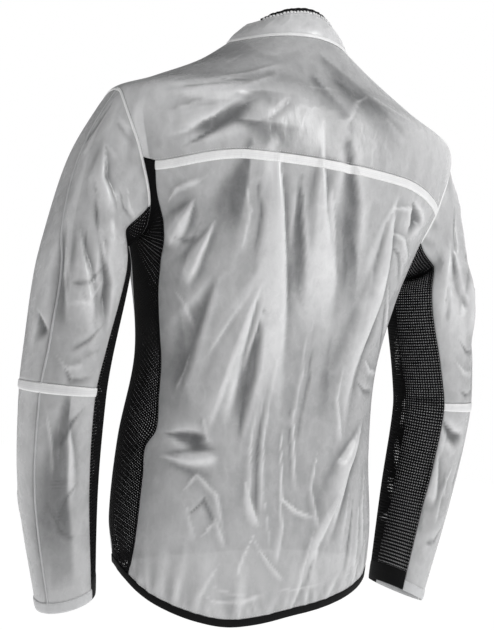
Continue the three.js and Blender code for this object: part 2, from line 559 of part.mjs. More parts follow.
// Slider with its bail, and the pull tab that hangs from the bail. Drawn upright, facing +Z.
const tool = await Manifold();
tool.setup();
const SLIDER = { wide: 8, foot: 6, tall: 10, back: -1.2, front: 3.2 };
const BAIL = { wide: 2, leg: 1.6, half: 3.8, rise: 3.6, bar: 1.2 };
const PULL = { wide: 6, top: 1.4, bottom: -19, thick: 1.3, lift: 0.45, slotTop: -1.6, slotFoot: -4.6, slot: 3 };
function solid(geometry) {
  geometry.deleteAttribute('normal');
  geometry.deleteAttribute('uv');
  const merged = mergeVertices(geometry, 1e-4);
  return new tool.Manifold(new tool.Mesh({
    numProp: 3,
    vertProperties: new Float32Array(merged.attributes.position.array),
    triVerts: new Uint32Array(merged.index.array),
  }));
}
// A box from its spans in x, y and z.
const block = (x0, x1, y0, y1, z0, z1) => solid(new THREE.BoxGeometry(x1 - x0, y1 - y0, z1 - z0)
  .translate((x0 + x1) / 2, (y0 + y1) / 2, (z0 + z1) / 2));
const plate = new THREE.Shape([[-SLIDER.wide, SLIDER.tall], [-SLIDER.foot, -SLIDER.tall],
  [SLIDER.foot, -SLIDER.tall], [SLIDER.wide, SLIDER.tall]].map(([x, y]) => new THREE.Vector2(x / 2, y / 2)));
const plateDeep = { depth: SLIDER.front - SLIDER.back, bevelEnabled: false };
const bailTop = SLIDER.front + BAIL.rise, bailFoot = SLIDER.front - 0.4;
const slider = solid(new THREE.ExtrudeGeometry(plate, plateDeep).translate(0, 0, SLIDER.back))
  .add(block(-BAIL.wide / 2, BAIL.wide / 2, BAIL.half - BAIL.leg, BAIL.half, bailFoot, bailTop))
  .add(block(-BAIL.wide / 2, BAIL.wide / 2, -BAIL.half, BAIL.leg - BAIL.half, bailFoot, bailTop))
  .add(block(-BAIL.wide / 2, BAIL.wide / 2, -BAIL.half, BAIL.half, bailTop - BAIL.bar, bailTop));
const pullBack = SLIDER.front + PULL.lift;
const pull = block(-PULL.wide / 2, PULL.wide / 2, PULL.bottom, PULL.top, pullBack, pullBack + PULL.thick)
  .subtract(block(-PULL.slot / 2, PULL.slot / 2, PULL.slotFoot, PULL.slotTop, pullBack - 1,
    pullBack + PULL.thick + 1));

const at = collar(-90, SLIDER_AT), up = collar(-90, SLIDER_AT + 0.05).sub(collar(-90, SLIDER_AT - 0.05))
  .normalize();
const right = vec(1, 0, 0), out = right.clone().cross(up).normalize();
const place = new THREE.Matrix4().makeBasis(right, up, out).setPosition(at);
function fromSolid(body) {
  const mesh = body.getMesh(), geometry = new THREE.BufferGeometry(), position = [];
  for (let i = 0; i < mesh.vertProperties.length; i += mesh.numProp) {
    position.push(...mesh.vertProperties.slice(i, i + 3));
  }
  geometry.setAttribute('position', new THREE.Float32BufferAttribute(position, 3));
  geometry.setIndex([...mesh.triVerts]);
  return geometry.applyMatrix4(place);
}
add('zip_slider', fromSolid(slider), 'metal');
add('zip_pull', fromSolid(pull), 'metal');

export default group;
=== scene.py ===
"""Rain jacket, worn shape, no wearer: cloth, net, tapes, elastics, zip and stitching.

Everything is worked out in millimetres in the frame of the CAD model and written in metres. The body is
a surface of (deg, v), degrees round from the wearer's left and level from hem to neckline. A sleeve is a
surface of (t, w), turns round from its outer side and share of its length from armhole to cuff.
"""
import logging
import math
from dataclasses import dataclass, field
from enum import Enum
from typing import Callable, Sequence

import bpy
import numpy as np
from mathutils import Matrix, Vector


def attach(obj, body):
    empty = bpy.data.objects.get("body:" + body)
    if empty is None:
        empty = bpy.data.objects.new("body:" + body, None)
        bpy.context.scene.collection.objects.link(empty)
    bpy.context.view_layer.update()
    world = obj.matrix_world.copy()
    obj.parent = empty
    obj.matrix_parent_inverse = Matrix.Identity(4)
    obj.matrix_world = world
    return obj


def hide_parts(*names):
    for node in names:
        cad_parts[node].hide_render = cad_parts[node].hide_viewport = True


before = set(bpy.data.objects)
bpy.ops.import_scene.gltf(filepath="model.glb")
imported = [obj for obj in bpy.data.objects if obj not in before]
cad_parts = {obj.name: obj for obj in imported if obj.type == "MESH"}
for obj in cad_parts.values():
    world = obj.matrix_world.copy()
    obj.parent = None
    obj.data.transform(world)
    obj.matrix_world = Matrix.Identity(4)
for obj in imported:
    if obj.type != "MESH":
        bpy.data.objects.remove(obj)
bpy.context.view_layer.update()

LOG = logging.getLogger("rain_jacket")
Array = np.ndarray
Surface = Callable[[Array, Array], Array]

METRES = 0.001  # one millimetre

# Sizes shared by several pieces, in millimetres.
SEAM = 0.16  # from a panel's edge to the middle of its seam
CLOTH_THICK = 0.45
TAPE_LIFT = 0.35  # from the surface up to the underside of a folded tape
HEM_TALL = 8.2  # how far the hem's elastic reaches below the cloth
ZIP_EDGE = 5.0  # from the zip's middle to the front's edge
ZIP_HEM = 15.0  # from the zip's middle to the outer edge of its tape
ZIP_TEETH = 1.3  # from the zip's middle to the inner edge of its tape
CUFF_SLANT = 8.0  # how much further the cuff reaches on its outer side
ARM_X = 253.0  # X of the upright axis that a sleeve runs round
BODY_MIDDLE = np.array([0.0, 0.0, -350.0])
YOKE_MIDDLE = np.array([0.0, 0.0, -180.0])
COLLAR_MIDDLE = np.array([0.0, -20.0, 0.0])

# Degrees and shares of a length that several surfaces use.
FRONT_FROM, FRONT_TO = -90, 270  # the front's middle, at the start and the end of a turn
SLEEVE_BLEND = 0.32  # share of the sleeve over which the armhole turns into rings
SLANT_FROM, SLANT_OVER = 0.8, 0.2  # where the cuff's slant sets in along the sleeve, and over how much
SLEEVE_END = 0.9995  # last row at which the sleeve's normal can be taken on both sides
ARMHOLE_POWER = 2.3
ARMHOLE_BACK, ARMHOLE_FRONT = 23, 27  # degrees from its middle
ARMHOLE_LEVEL, ARMHOLE_TALL = 0.7625, 0.1225  # level of its middle, and from there to its top
YOKE_SEAM, YOKE_RISE = 0.778, 0.024  # level at its ends, and how much higher it is in the middle
YOKE_SLOPE = 34  # degrees over which it rises
YOKE_DEG = 29  # the back panel's upper corner
YOKE_SIDE = 5 / 26  # share of the yoke's lower edge between an armhole and that corner
NECK_DEG = -25  # where the shoulder seam meets the neckline

# Cells of the panels' grids.
BACK_CELLS, COLLAR_CELLS = (180, 142), (22, 230)
YOKE_CELLS, FRONT_CELLS, NET_CELLS = (7, 170), (5, 60), (5, 36)  # here rows for each armhole step
NET_STEPS = 18  # coarse steps of a net's front edge up to the armhole

# The body's levels, the collar's levels and the sleeve's middle line, as in the solids.
BODY = np.array([
    [0.00, 168, 2, 0.06, -8, -652, 106, -702, -118, -655, 2.25],
    [0.10, 171, 6, 0.04, -8, -596, 111, -634, -124, -598, 2.3],
    [0.25, 164, 10, 0.02, -6, -504, 104, -526, -118, -504, 2.4],
    [0.42, 160, 3, 0.00, -4, -400, 99, -414, -112, -405, 2.3],
    [0.58, 178, 1, -0.01, 0, -305, 112, -308, -118, -318, 2.3],
    [0.68, 200, 0, -0.02, 2, -240, 119, -238, -122, -250, 2.4],
    [0.80, 228, 0, -0.04, 6, -172, 122, -155, -116, -178, 2.5],
    [0.88, 238, 0, -0.045, 12, -106, 114, -90, -100, -122, 2.4],
    [0.93, 184, 0, -0.04, 9, -77, 96, -57, -82, -92, 2.2],
    [0.97, 122, 0, -0.03, 4, -45, 77, -24, -68, -64, 2.1],
    [1.00, 82, 0, -0.02, 0, -16, 62, -3, -58, -42, 2.0],
])
HEM_LINE = np.array([
    [-90, 0], [-50, 3], [-15, 12], [5, 2], [27, -9], [60, -8], [78, 3], [92, 11], [112, 11],
    [130, 7], [150, 3], [180, 0], [270, 0],
], float)
HEM_LINE_REACH = 0.12
BODY_COLUMNS = ("at", "a", "cx", "tilt", "ys", "zs", "yb", "zb", "yf", "zf", "n")
COLLAR = np.array([
    [0.00, 82, 0, -0.02, 0, -16, 62, -3, -58, -42, 2.0],
    [0.35, 76, 0, -0.02, 0, -6, 60, 9, -57, -32, 2.0],
    [0.70, 67, 0, -0.02, 0, 3, 54, 20, -54, -22, 2.0],
    [1.00, 58, 0, -0.02, 0, 11, 46, 30, -50, -13, 2.0],
])
SLEEVE = np.array([
    [0.00, 206, 6, -158, 32, 68],
    [0.15, 239, -4, -215, 44, 65],
    [0.30, 253, -2, -300, 54, 61],
    [0.50, 267, 3, -405, 51, 56],
    [0.60, 270, 4, -455, 50, 53],
    [0.80, 262, -4, -565, 46, 49],
    [1.00, 241, -4, -694, 34, 42],
])
SLEEVE_COLUMNS = ("at", "x", "y", "z", "out", "back")
SLEEVE_SEAMS = np.array([
    [0.00, 0.000, 0.333, 0.765],
    [0.17, 0.025, 0.340, 0.745],
    [0.32, 0.085, 0.348, 0.730],
    [0.48, 0.100, 0.325, 0.745],
    [0.60, 0.088, 0.308, 0.760],
    [0.80, 0.078, 0.318, 0.765],
    [1.00, 0.070, 0.330, 0.740],
])
SEAM_COLUMNS = ("at", "long", "net_back", "net_front")
NET_BACK = np.array([
    [0.000, 9], [0.078, 16.7], [0.20, 19], [0.25, 18], [0.288, 24], [0.35, 21], [0.433, 17],
    [0.53, 16], [0.60, 20], [0.65, 26], [0.716, 26], [YOKE_SEAM, YOKE_DEG],
])
NET_FRONT_DEG = -22.0
ARM_STEPS = np.array([0, 0.05, 0.10, 0.16, 0.222, 0.277, 0.333, 0.39, 0.45, 0.505, 0.56,
                      0.61, 0.66, 0.71, 0.765, 0.82, 0.88, 0.94, 1])
YOKE_CORNER, NET_SIDE, NET_TOP, NET_FRONT, SHOULDER, ARM_LAST = 4, 6, 10, 14, 17, 18
ELBOW_ROW, ELBOW_TAPE_ROW, CUFF_ROW, CUFF_HEM_ROW = 0.57, 0.588, 0.963, 0.98
# From one long seam to another: the armhole's steps at which they start, and the turns between them.
ARM_SPANS = {
    ("long", "net_back"): (0, NET_SIDE, 0), ("net_front", "long"): (NET_FRONT, ARM_LAST, 1),
    ("net_back", "net_front"): (NET_SIDE, NET_FRONT, 0),
    ("net_front", "net_back"): (NET_FRONT, NET_SIDE, 1),
}


class Side(Enum):
    """The two sides of the wearer, with the sign of X on each."""

    LEFT = 1
    RIGHT = -1

    @property
    def word(self) -> str:
        """Name of the side as used in node names."""
        return self.name.lower()


class Edge(Enum):
    """The four edges of a panel's grid."""

    BOTTOM = 0
    TOP = 1
    START = 2
    END = 3


class Crest(Enum):
    """How a fold falls off across it: a soft roll, a crisp crease, or a smooth wedge.

    Each is narrow where it starts, and steeper on one side than on the other.
    """

    SOFT = "soft"
    CRISP = "crisp"
    WEDGE = "wedge"


def read(rows: Array, column: int, x: Array) -> Array:
    """One column of a table at x, on a smooth curve through its rows (cubic Hermite, central slopes).

    Args:
        rows: table whose first column is the place of each row.
        column: index of the column that is read.
        x: places at which it is read, held inside the table.

    Returns:
        The values, in the shape of x.
    """
    xs, ys = rows[:, 0], rows[:, column]
    x = np.clip(np.asarray(x, float), xs[0], xs[-1])
    slope = np.empty_like(ys)
    slope[1:-1] = (ys[2:] - ys[:-2]) / (xs[2:] - xs[:-2])
    slope[0] = (ys[1] - ys[0]) / (xs[1] - xs[0])
    slope[-1] = (ys[-1] - ys[-2]) / (xs[-1] - xs[-2])
    i = np.clip(np.searchsorted(xs, x, side="right") - 1, 0, len(xs) - 2)
    h = xs[i + 1] - xs[i]
    s = (x - xs[i]) / h
    return ((2 * s ** 3 - 3 * s ** 2 + 1) * ys[i] + (s ** 3 - 2 * s ** 2 + s) * h * slope[i]
            + (3 * s ** 2 - 2 * s ** 3) * ys[i + 1] + (s ** 3 - s ** 2) * h * slope[i + 1])


def smooth(k: Array) -> Array:
    """Smooth step from 0 to 1 as k goes from 0 to 1."""
    q = np.clip(k, 0, 1)
    return q * q * (3 - 2 * q)


def lerp(a: Array, b: Array, k: Array) -> Array:
    """Straight mix of a and b."""
    return a + (b - a) * k


def unit(v: Array) -> Array:
    """Vectors along the last axis, at length 1."""
    return v / np.maximum(np.linalg.norm(v, axis=-1, keepdims=True), 1e-9)


def superellipse(c: Array, s: Array, power: Array | float) -> Array:
    """Reach of a rounded rectangle of unit size in the direction with that cosine and sine."""
    return (np.abs(c) ** power + np.abs(s) ** power) ** (-1 / power)


def arc_length(line: Array) -> Array:
    """Distance along a line from its first point to each of its points."""
    return np.concatenate([[0], np.cumsum(np.linalg.norm(np.diff(line, axis=0), axis=-1))])


def from_front(deg: Array) -> Array:
    """Degrees counted on from the front's middle, within one turn."""
    return np.mod(np.asarray(deg, float) - FRONT_FROM, 360) + FRONT_FROM


def level(rows: Array, at: Array, deg: Array) -> Array:
    """Point on a closed tube: a superellipse in plan, tilted to the back, the front and the side.

    Args:
        rows: table with the columns BODY_COLUMNS.
        at: level of each point.
        deg: degrees round of each point.

    Returns:
        Points in millimetres, with X, Y and Z on the last axis.
    """
    at, deg = np.broadcast_arrays(np.asarray(at, float), np.asarray(deg, float))
    a, cx, tilt, ys, zs, yb, zb, yf, zf, n = (read(rows, k, at) for k in range(1, len(BODY_COLUMNS)))
    c, s = np.cos(np.radians(deg)), np.sin(np.radians(deg))
    r = superellipse(c, s, n)
    deep = np.where(s > 0, yb - ys, ys - yf)
    x = a * r * c
    z = lerp(zs, np.where(s > 0, zb, zf), s * s) - tilt * x
    return np.stack([x + cx, ys + deep * r * s, z], -1)


def body_shape(deg: Array, v: Array) -> Array:
    """The body without folds. Its hem hangs unevenly, which dies away above it."""
    p = level(BODY, v, deg)
    p[..., 2] += read(HEM_LINE, 1, from_front(deg)) * (1 - smooth(np.asarray(v, float) / HEM_LINE_REACH))
    return p


def armhole_at(t: Array) -> tuple[Array, Array]:
    """The armhole's loop in body coordinates, a superellipse of degrees against level."""
    c, s = np.cos(2 * np.pi * t), np.sin(2 * np.pi * t)
    r = superellipse(c, s, ARMHOLE_POWER)
    return np.where(s > 0, ARMHOLE_BACK, ARMHOLE_FRONT) * r * s, ARMHOLE_LEVEL + ARMHOLE_TALL * r * c


def on_side(side: Side, deg: Array) -> Array:
    """Degrees of the same place on a side of the body."""
    return deg if side is Side.LEFT else 180 - deg


def arm_line(at: Array) -> Array:
    """Middle line of the left sleeve."""
    return np.stack([read(SLEEVE, SLEEVE_COLUMNS.index(word), at) for word in "xyz"], -1)


def sleeve_shape(side: Side, t: Array, w: Array) -> Array:
    """The sleeve without folds: the armhole carried along the arm and blended into rings."""
    t, w = np.broadcast_arrays(np.asarray(t, float), np.asarray(w, float))
    centre = arm_line(w)
    axis = unit(arm_line(np.minimum(1, w + 0.001)) - arm_line(np.maximum(0, w - 0.001)))
    out = unit(np.cross(np.array([0.0, 1.0, 0.0]), axis))
    out = out * np.where(out[..., :1] < 0, -1, 1)
    back = np.cross(axis, out)
    back = back * np.where(back[..., 1:2] < 0, -1, 1)
    c, s = np.cos(2 * np.pi * t)[..., None], np.sin(2 * np.pi * t)[..., None]
    far_out, far_back = (read(SLEEVE, SLEEVE_COLUMNS.index(word), w)[..., None]
                         for word in ("out", "back"))
    ring = (centre + out * far_out * c + back * far_back * s
            + axis * CUFF_SLANT * c * smooth((w - SLANT_FROM) / SLANT_OVER)[..., None])
    mirror = np.array([side.value, 1, 1])
    deg, v = armhole_at(t)
    start = body_shape(on_side(side, deg), v) + (centre - arm_line(np.zeros(1))[0]) * mirror
    return lerp(start, ring * mirror, smooth(w / SLEEVE_BLEND)[..., None])


def path_distance(p: Array, line: Array) -> tuple[Array, Array, Array]:
    """Distance of points from a bent line, and the nearest place on it.

    Args:
        p: points.
        line: the line's corner points.

    Returns:
        The distances, the nearest place along the line from 0 to 1, and a vector square to the line that
        says on which side of it each point lies.
    """
    best = np.full(p.shape[:-1], 1e9)
    along = np.zeros(p.shape[:-1])
    side = np.zeros(p.shape)
    last = len(line) - 1
    for i in range(last):
        d = line[i + 1] - line[i]
        k = np.clip(((p - line[i]) @ d) / (d @ d), 0, 1)
        far = np.linalg.norm(p - line[i] - k[..., None] * d, axis=-1)
        near = far < best
        along = np.where(near, (i + k) / last, along)
        side = np.where(near[..., None], np.cross(d, p - line[i]), side)
        best = np.minimum(best, far)
    return best, along, side


NARROW_START, STEEP_SIDE, WIDE_SIDE = 0.16, 0.55, 1.5  # shares of a fold's half width
QUICK_START = 0.3  # how much sooner a wedge reaches its strength than it fades
WEDGE_SIDE = 0.22  # a wedge's steep side, sharper than a fold's


@dataclass(frozen=True)
class Fold:
    """One fold: a bent line in surface coordinates, its half width and its height above the cloth."""

    line: tuple[tuple[float, float], ...]
    half: float
    high: float
    crest: Crest = Crest.SOFT
    fade: float = 0.0

    def push(self, p: Array, shape: Surface, axis: float = 0.0) -> Array:
        """Height of this fold at points of the surface.

        With q the share of the half width, soft folds and wedges follow (1 - q^2)^2 and crisp ones
        (1 - q)^2. A fade lets the height run out over that share of the line at its two ends.

        Args:
            p: points of the surface without folds.
            shape: that surface.
            axis: X of the upright axis that the surface runs round.

        Returns:
            The heights in millimetres.
        """
        a, b = np.array(self.line).T
        corners = shape(a, b)
        reach = self.half * WIDE_SIDE
        box = np.all((p > corners.min(0) - reach) & (p < corners.max(0) + reach), -1)
        out = np.zeros(p.shape[:-1])
        if not box.any():
            return out
        far, along, side = path_distance(p[box], corners)
        outward = (p[box] - np.array([axis, 0, 0])) * np.array([1, 1, 0])
        turn = (unit(side) * unit(outward)).sum(-1)
        half = (self.half * lerp(NARROW_START, 1, smooth(along / 0.8))
                * lerp(WIDE_SIDE, WEDGE_SIDE if self.crest is Crest.WEDGE else STEEP_SIDE,
                       smooth(turn * 0.5 + 0.5)))
        q = np.clip(far / half, 0, 1)
        rise = (1 - q) ** 2 if self.crest is Crest.CRISP else (1 - q * q) ** 2
        start = self.fade * (QUICK_START if self.crest is Crest.WEDGE else 1)
        rise = rise * smooth(along / max(start, 1e-3)) * smooth((1 - along) / max(self.fade, 1e-3))
        out[box] = self.high * rise
        return out


def folds(text: str, crest: Crest = Crest.SOFT, fade: float = 0.0, gain: float = 1.0) -> list[Fold]:
    """Folds from rows of text: half width, height, then the line's points as pairs.

    Args:
        text: one fold a line.
        crest: how the heights fall off.
        fade: share of each end over which the height runs out.
        gain: factor on all the heights.

    Returns:
        The folds.
    """
    made = []
    for row in text.strip().splitlines():
        half, high, *rest = (float(x) for x in row.split())
        made.append(Fold(tuple(zip(rest[::2], rest[1::2])), half, high * gain, crest, fade))
    return made


# Big folds, as in the solids, here with tapering ends.
BODY_FOLDS = folds("""
24 7 71.8 .858 72 .68 78.5 .43
16 -5 78.6 .778 80.6 .669 85 .54
20 5 85.9 .865 87.8 .716 98 .573
30 -6 94.8 .851 100.1 .74 103.5 .6
28 8 116.3 .778 122 .58 112 .26
20 -8 123.6 .77 131 .74 136 .715
24 7 67 .6 58.5 .45 56 .3
18 -5 69.5 .555 67.2 .427 62.5 .285
32 -6 50 .6 37 .47 27 .35
16 6 27 .245 43 .255 58 .268
16 -6 26.6 .285 41.1 .292 53 .29
18 6 43.1 .716 37.1 .674 26 .617
18 5 49.9 .682 40.1 .607 32 .555
16 4 28 .872 49 .88 66 .893
18 -5 38 .812 53 .84 66.8 .877
22 6 134 .34 119.3 .243 104 .1
26 6 -40 .6 -52 .45 -60 .26
26 6 -141 .61 -130 .44 -122 .28
22 -5 -62 .25 -45 .2 -30 .13
22 -5 -118 .21 -134 .16 -150 .11
""", Crest.SOFT, 0.4, 1.15)
SLEEVE_FOLDS = {
    Side.LEFT: folds("""
22 -7 .125 .24 .19 .34 .235 .46
16 5 .07 .23 .1 .34 .15 .47
16 5 .19 .24 .27 .34 .29 .46
16 -6 .12 .09 .16 .15 .25 .2
14 4 .01 .41 .06 .45 .09 .48
20 -4 .2 .62 .215 .7 .215 .82
""", Crest.SOFT, 0.4, 1.15),
    Side.RIGHT: folds("""
22 -6 .11 .23 .15 .32 .16 .44
16 5 .06 .21 .07 .33 .09 .47
16 5 .23 .15 .24 .26 .2 .36
14 5 .33 .6 .25 .64 .17 .65
16 -5 .3 .68 .29 .76 .28 .83
""", Crest.SOFT, 0.4, 1.15),
}

# Creases that only the cloth pieces here carry, as far as they show in the photograph.
BODY_CREASES = folds("""
5 1.6 67 .6 54.4 .511 43.5 .426
6 1.8 79.2 .56 77 .44 75 .3 76.5 .15
6 1.8 72.6 .44 69.5 .3 70.5 .16
7 -1.8 75 .43 73 .3 74 .15
6 2 70.8 .15 80 .1 88 .06
7 1.8 104 .18 96 .08 94 .02
8 -1.6 108 .17 100 .08 98 .02
8 2.2 40 .18 48 .23 57 .2 61 .13
7 -2 44 .15 52 .19 57 .15
7 2 50 .12 57 .16 62 .11
6 1.8 64 .12 55 .06 50 .02
6 1.6 48 .05 58 .03 70 .035 80 .045
6 1.8 46 .34 50 .3 52 .285
6 1.5 37 .45 34 .4 31 .36
9 2.4 116 .7 127 .69 140 .64
8 -2 118 .68 128 .66 141 .6
7 1.8 112 .74 122 .75 134 .76
8 2 125 .62 134 .56 147 .5
8 -2 128 .59 136 .53 148 .46
8 2.2 124 .46 133 .43 146 .42
8 -1.8 120 .42 131 .39 145 .38
9 2 112 .48 110 .38 116 .29
7 1.6 60 .78 62 .7 58 .62
7 -1.6 64 .78 66 .7 63 .61
6 1.4 88 .56 90 .43 88 .3
7 -1.4 92 .54 94 .42 91 .28
8 1.8 30 .7 36 .73 46 .75
8 -1.6 29 .65 36 .64 42 .65
7 1.6 27 .56 33 .53 38 .48
7 1.8 103 .3 100 .22 104 .14
8 1.6 84 .23 86 .16 83 .09
9 -1.8 126 .2 122 .11 120 .03
8 1.8 130 .19 128 .11 127 .03
8 1.8 138 .25 133 .16 134 .06
7 1.2 44 .9 58 .925 72 .95
7 1.4 110 .925 100 .9 94 .85
8 1.4 128 .88 116 .905 104 .93
8 1.2 50 .86 60 .89 70 .93
8 -1.2 60 .83 70 .85 78 .9
8 1.8 -36 .56 -44 .52 -56 .5
8 1.8 -34 .48 -46 .42 -60 .4
8 -1.8 -38 .34 -48 .3 -62 .3
8 1.8 -142 .54 -134 .5 -124 .49
8 -1.8 -144 .45 -134 .4 -122 .38
8 1.8 -146 .3 -134 .29 -120 .26
7 1.6 -60 .86 -68 .8 -74 .7
7 1.6 -122 .84 -114 .78 -106 .69
7 1.6 -50 .18 -58 .11 -62 .04
7 1.6 -130 .17 -122 .1 -118 .04
9 2.8 42.8 .714 35.8 .674 26.2 .623
10 2.2 49.5 .68 42.5 .63 34.2 .559
14 3.2 68.5 .606 61.2 .529 54.5 .416 50.2 .294
8 -2.4 69.2 .569 66.5 .481 64.5 .385 64.5 .279
9 2.4 32 .246 44.5 .25 57.8 .264
5 1.9 82.2 .398 83.5 .306 85.8 .206 92.8 .185 105.8 .165
4 1.4 87 .395 89.8 .307 92.2 .211
10 2.6 68.2 .235 70.8 .2 75.5 .154
4 1.6 73.8 .15 69.2 .109 66.5 .069
12 2.8 118.8 .236 110.8 .179 103 .125 100.8 .079
9 -2.4 65.8 .873 60 .854 51.5 .824 42 .802
7 1.8 29.5 .865 51.8 .875 65.2 .888
5 -1.5 40.8 .919 53 .905 62.2 .911
6 1.6 63.2 .876 51.8 .843 36.2 .818
8 2 123.5 .768 130.2 .745
""", Crest.CRISP, 0.25, 1.1)
SLEEVE_CREASES = {
    Side.LEFT: folds("""
6 2.2 .06 .025 .05 .1 .02 .142
6 -2 .07 .058 .07 .125 .06 .158
6 1.8 .11 .142 .16 .183 .2 .258
6 2 .4 .008 .44 .092 .46 .083
6 1.8 .49 .025 .51 .092
7 2 .25 .3 .2 .35 .14 .36
7 -1.8 .26 .33 .21 .39 .15 .4
7 1.8 .3 .42 .24 .47 .18 .5
7 1.8 .16 .52 .2 .56 .29 .545
7 -1.6 .12 .5 .18 .535 .24 .52
7 1.8 .28 .6 .22 .64 .17 .7
7 -1.6 .12 .61 .15 .68 .16 .76
7 1.6 .13 .8 .18 .86 .25 .88
7 1.6 .27 .76 .21 .8 .16 .85
7 2 .9 .2 .84 .28 .8 .34
7 -2 .93 .26 .88 .34 .82 .4
7 2 .96 .42 .9 .47 .82 .5
7 1.8 .78 .54 .86 .56 .95 .6
7 1.8 .95 .68 .88 .74 .8 .82
7 -1.6 .98 .76 .92 .82 .86 .9
7 2.2 .067 .225 .093 .273 .12 .334 .152 .396
6 2 .175 .229 .23 .256 .267 .349 .273 .399
5 1.6 .163 .345 .203 .39 .292 .463
""", Crest.CRISP, 0.25, 1.25),
    Side.RIGHT: folds("""
7 2 .04 .325 .16 .275
7 2 .3 .325 .28 .267
7 2 .07 .192 .16 .233
6 1.8 .8 .325 .92 .317
6 2 .03 .03 .06 .09 .08 .16
6 -1.8 .06 .04 .09 .1 .11 .15
7 1.8 .15 .08 .2 .14 .22 .2
7 1.8 .26 .4 .2 .44 .12 .45
7 -1.8 .28 .45 .22 .49 .13 .5
7 1.8 .29 .52 .2 .55 .11 .54
7 1.8 .1 .62 .14 .7 .15 .79
7 -1.6 .2 .7 .24 .78 .23 .86
7 1.8 .14 .84 .2 .89 .27 .9
7 2 .95 .18 .9 .26 .85 .33
7 -2 .96 .3 .9 .36 .83 .4
7 2 .94 .44 .88 .48 .8 .49
7 1.8 .79 .56 .87 .59 .96 .58
7 1.8 .96 .66 .9 .74 .82 .8
7 1.8 .267 .253 .295 .371
7 -2 .245 .726 .218 .8
""", Crest.CRISP, 0.25, 1.25),
}

# Painted light and shade on the film: strokes that lighten it where their strength is positive and darken
# it where it is negative, as light would fall on it. Half width in millimetres, strength, then places on
# the surface.
BACK_PAINTED_SHADING = folds("""
40 1.45 69 .94 70.5 .8 72.5 .68 75 .56 79 .42 81 .3
36 1 70 .64 61 .53 54.5 .416 47 .25
36 -.75 64 .83 60 .74 52 .6
30 -.6 97.8 .733 105.2 .639 110 .522
35 -.85 58 .843 69.2 .838 84.5 .836
20 -.6 56.8 .873 66.5 .885 78.8 .886
10 .8 28.5 .838 45 .856 66.2 .893
9 .6 27.8 .81 44.5 .826 55.8 .841
46 .95 90 .77 94 .68 97 .58 99 .46
60 -.5 86 .975 104 .93 124 .86
42 -.4 90 .94 108 .9 122 .84
50 -.6 82 .94 92 .88 104 .82
16 1 30 .875 40 .895 54 .905 66 .902
24 .85 70 .9 72 .76 73.2 .625 75.8 .504 79.2 .4
6 -.55 79.2 .782 80.2 .729 82.5 .578 87.5 .522
11 .5 85.2 .78 87.8 .649 93 .579
32 -.6 63 .8 60 .74 54 .64
6 .35 54.8 .774 44 .739 30 .709
9 .9 42.8 .714 35.8 .674 26.2 .623
10 .65 49.5 .68 42.5 .63 34.2 .559
8 -.4 46 .691 36.2 .618 27.2 .534
18 1 69.5 .625 61.2 .529 54.5 .416 48.2 .27
8 -.55 69.2 .569 66.5 .481 64.5 .385 64.5 .279
28 -.35 29.5 .535 33.8 .386 42.5 .301
8 -.5 29.2 .276 44.2 .284 57 .273
6 .7 32 .246 44.5 .25 57.8 .264
19 -.35 101 .511 107.2 .324
4 .8 82.2 .398 83.5 .306 85.8 .206 92.8 .185 105.8 .165
3 .6 87 .395 89.8 .307 92.2 .211
3 -.5 85.5 .38 87.8 .306 90.2 .206
10 .6 68.2 .235 70.8 .2 75.5 .154
3 .8 73.8 .15 69.2 .109 66.5 .069
3 .5 76.8 .219 79.2 .171 81.5 .103
11 .7 118.8 .236 110.8 .179 103 .125 100.8 .079
6 .45 123 .211 119.8 .154 115 .084
4 .45 47.2 .064 62.2 .049 78 .036
4 .45 77.8 .051 95.5 .041 111.2 .041
25 -.2 54 .224 56.8 .16
8 .4 43.8 .181 47.8 .135 49.8 .106
18 1.7 31 .895 25.5 .85 25 .79 26 .72
13 -.6 60 .868 44.2 .851 27 .836
8 .55 67.2 .89 51.8 .875 27.5 .862
4 -.6 40.8 .919 53 .905 62.2 .911
4 -.35 35.8 .883 47.8 .885
11 -1 40 .798 51.5 .824 60 .854 68 .882
6 .4 65.2 .88 51.8 .843 32.2 .812
4 .35 62.8 .83 48.5 .807
5 -.25 68.8 .884 69 .856
11 .5 86.2 .869 86.5 .807
14 -.4 96.2 .858 97.2 .812
10 .35 108.5 .89 118.5 .849
11 .35 42.5 .966 42.5 .94
4 .3 71.8 .906 87 .914 97.2 .919
11 -.4 97.8 .77 101.5 .723
16 .65 118.2 .777 115 .715 114.2 .646 115 .559 115.2 .479
6 -.45 123.5 .768 130.2 .745
8 -.35 97.5 .699 101.8 .628 103.5 .556
""", Crest.WEDGE, 0.5, 1.45)
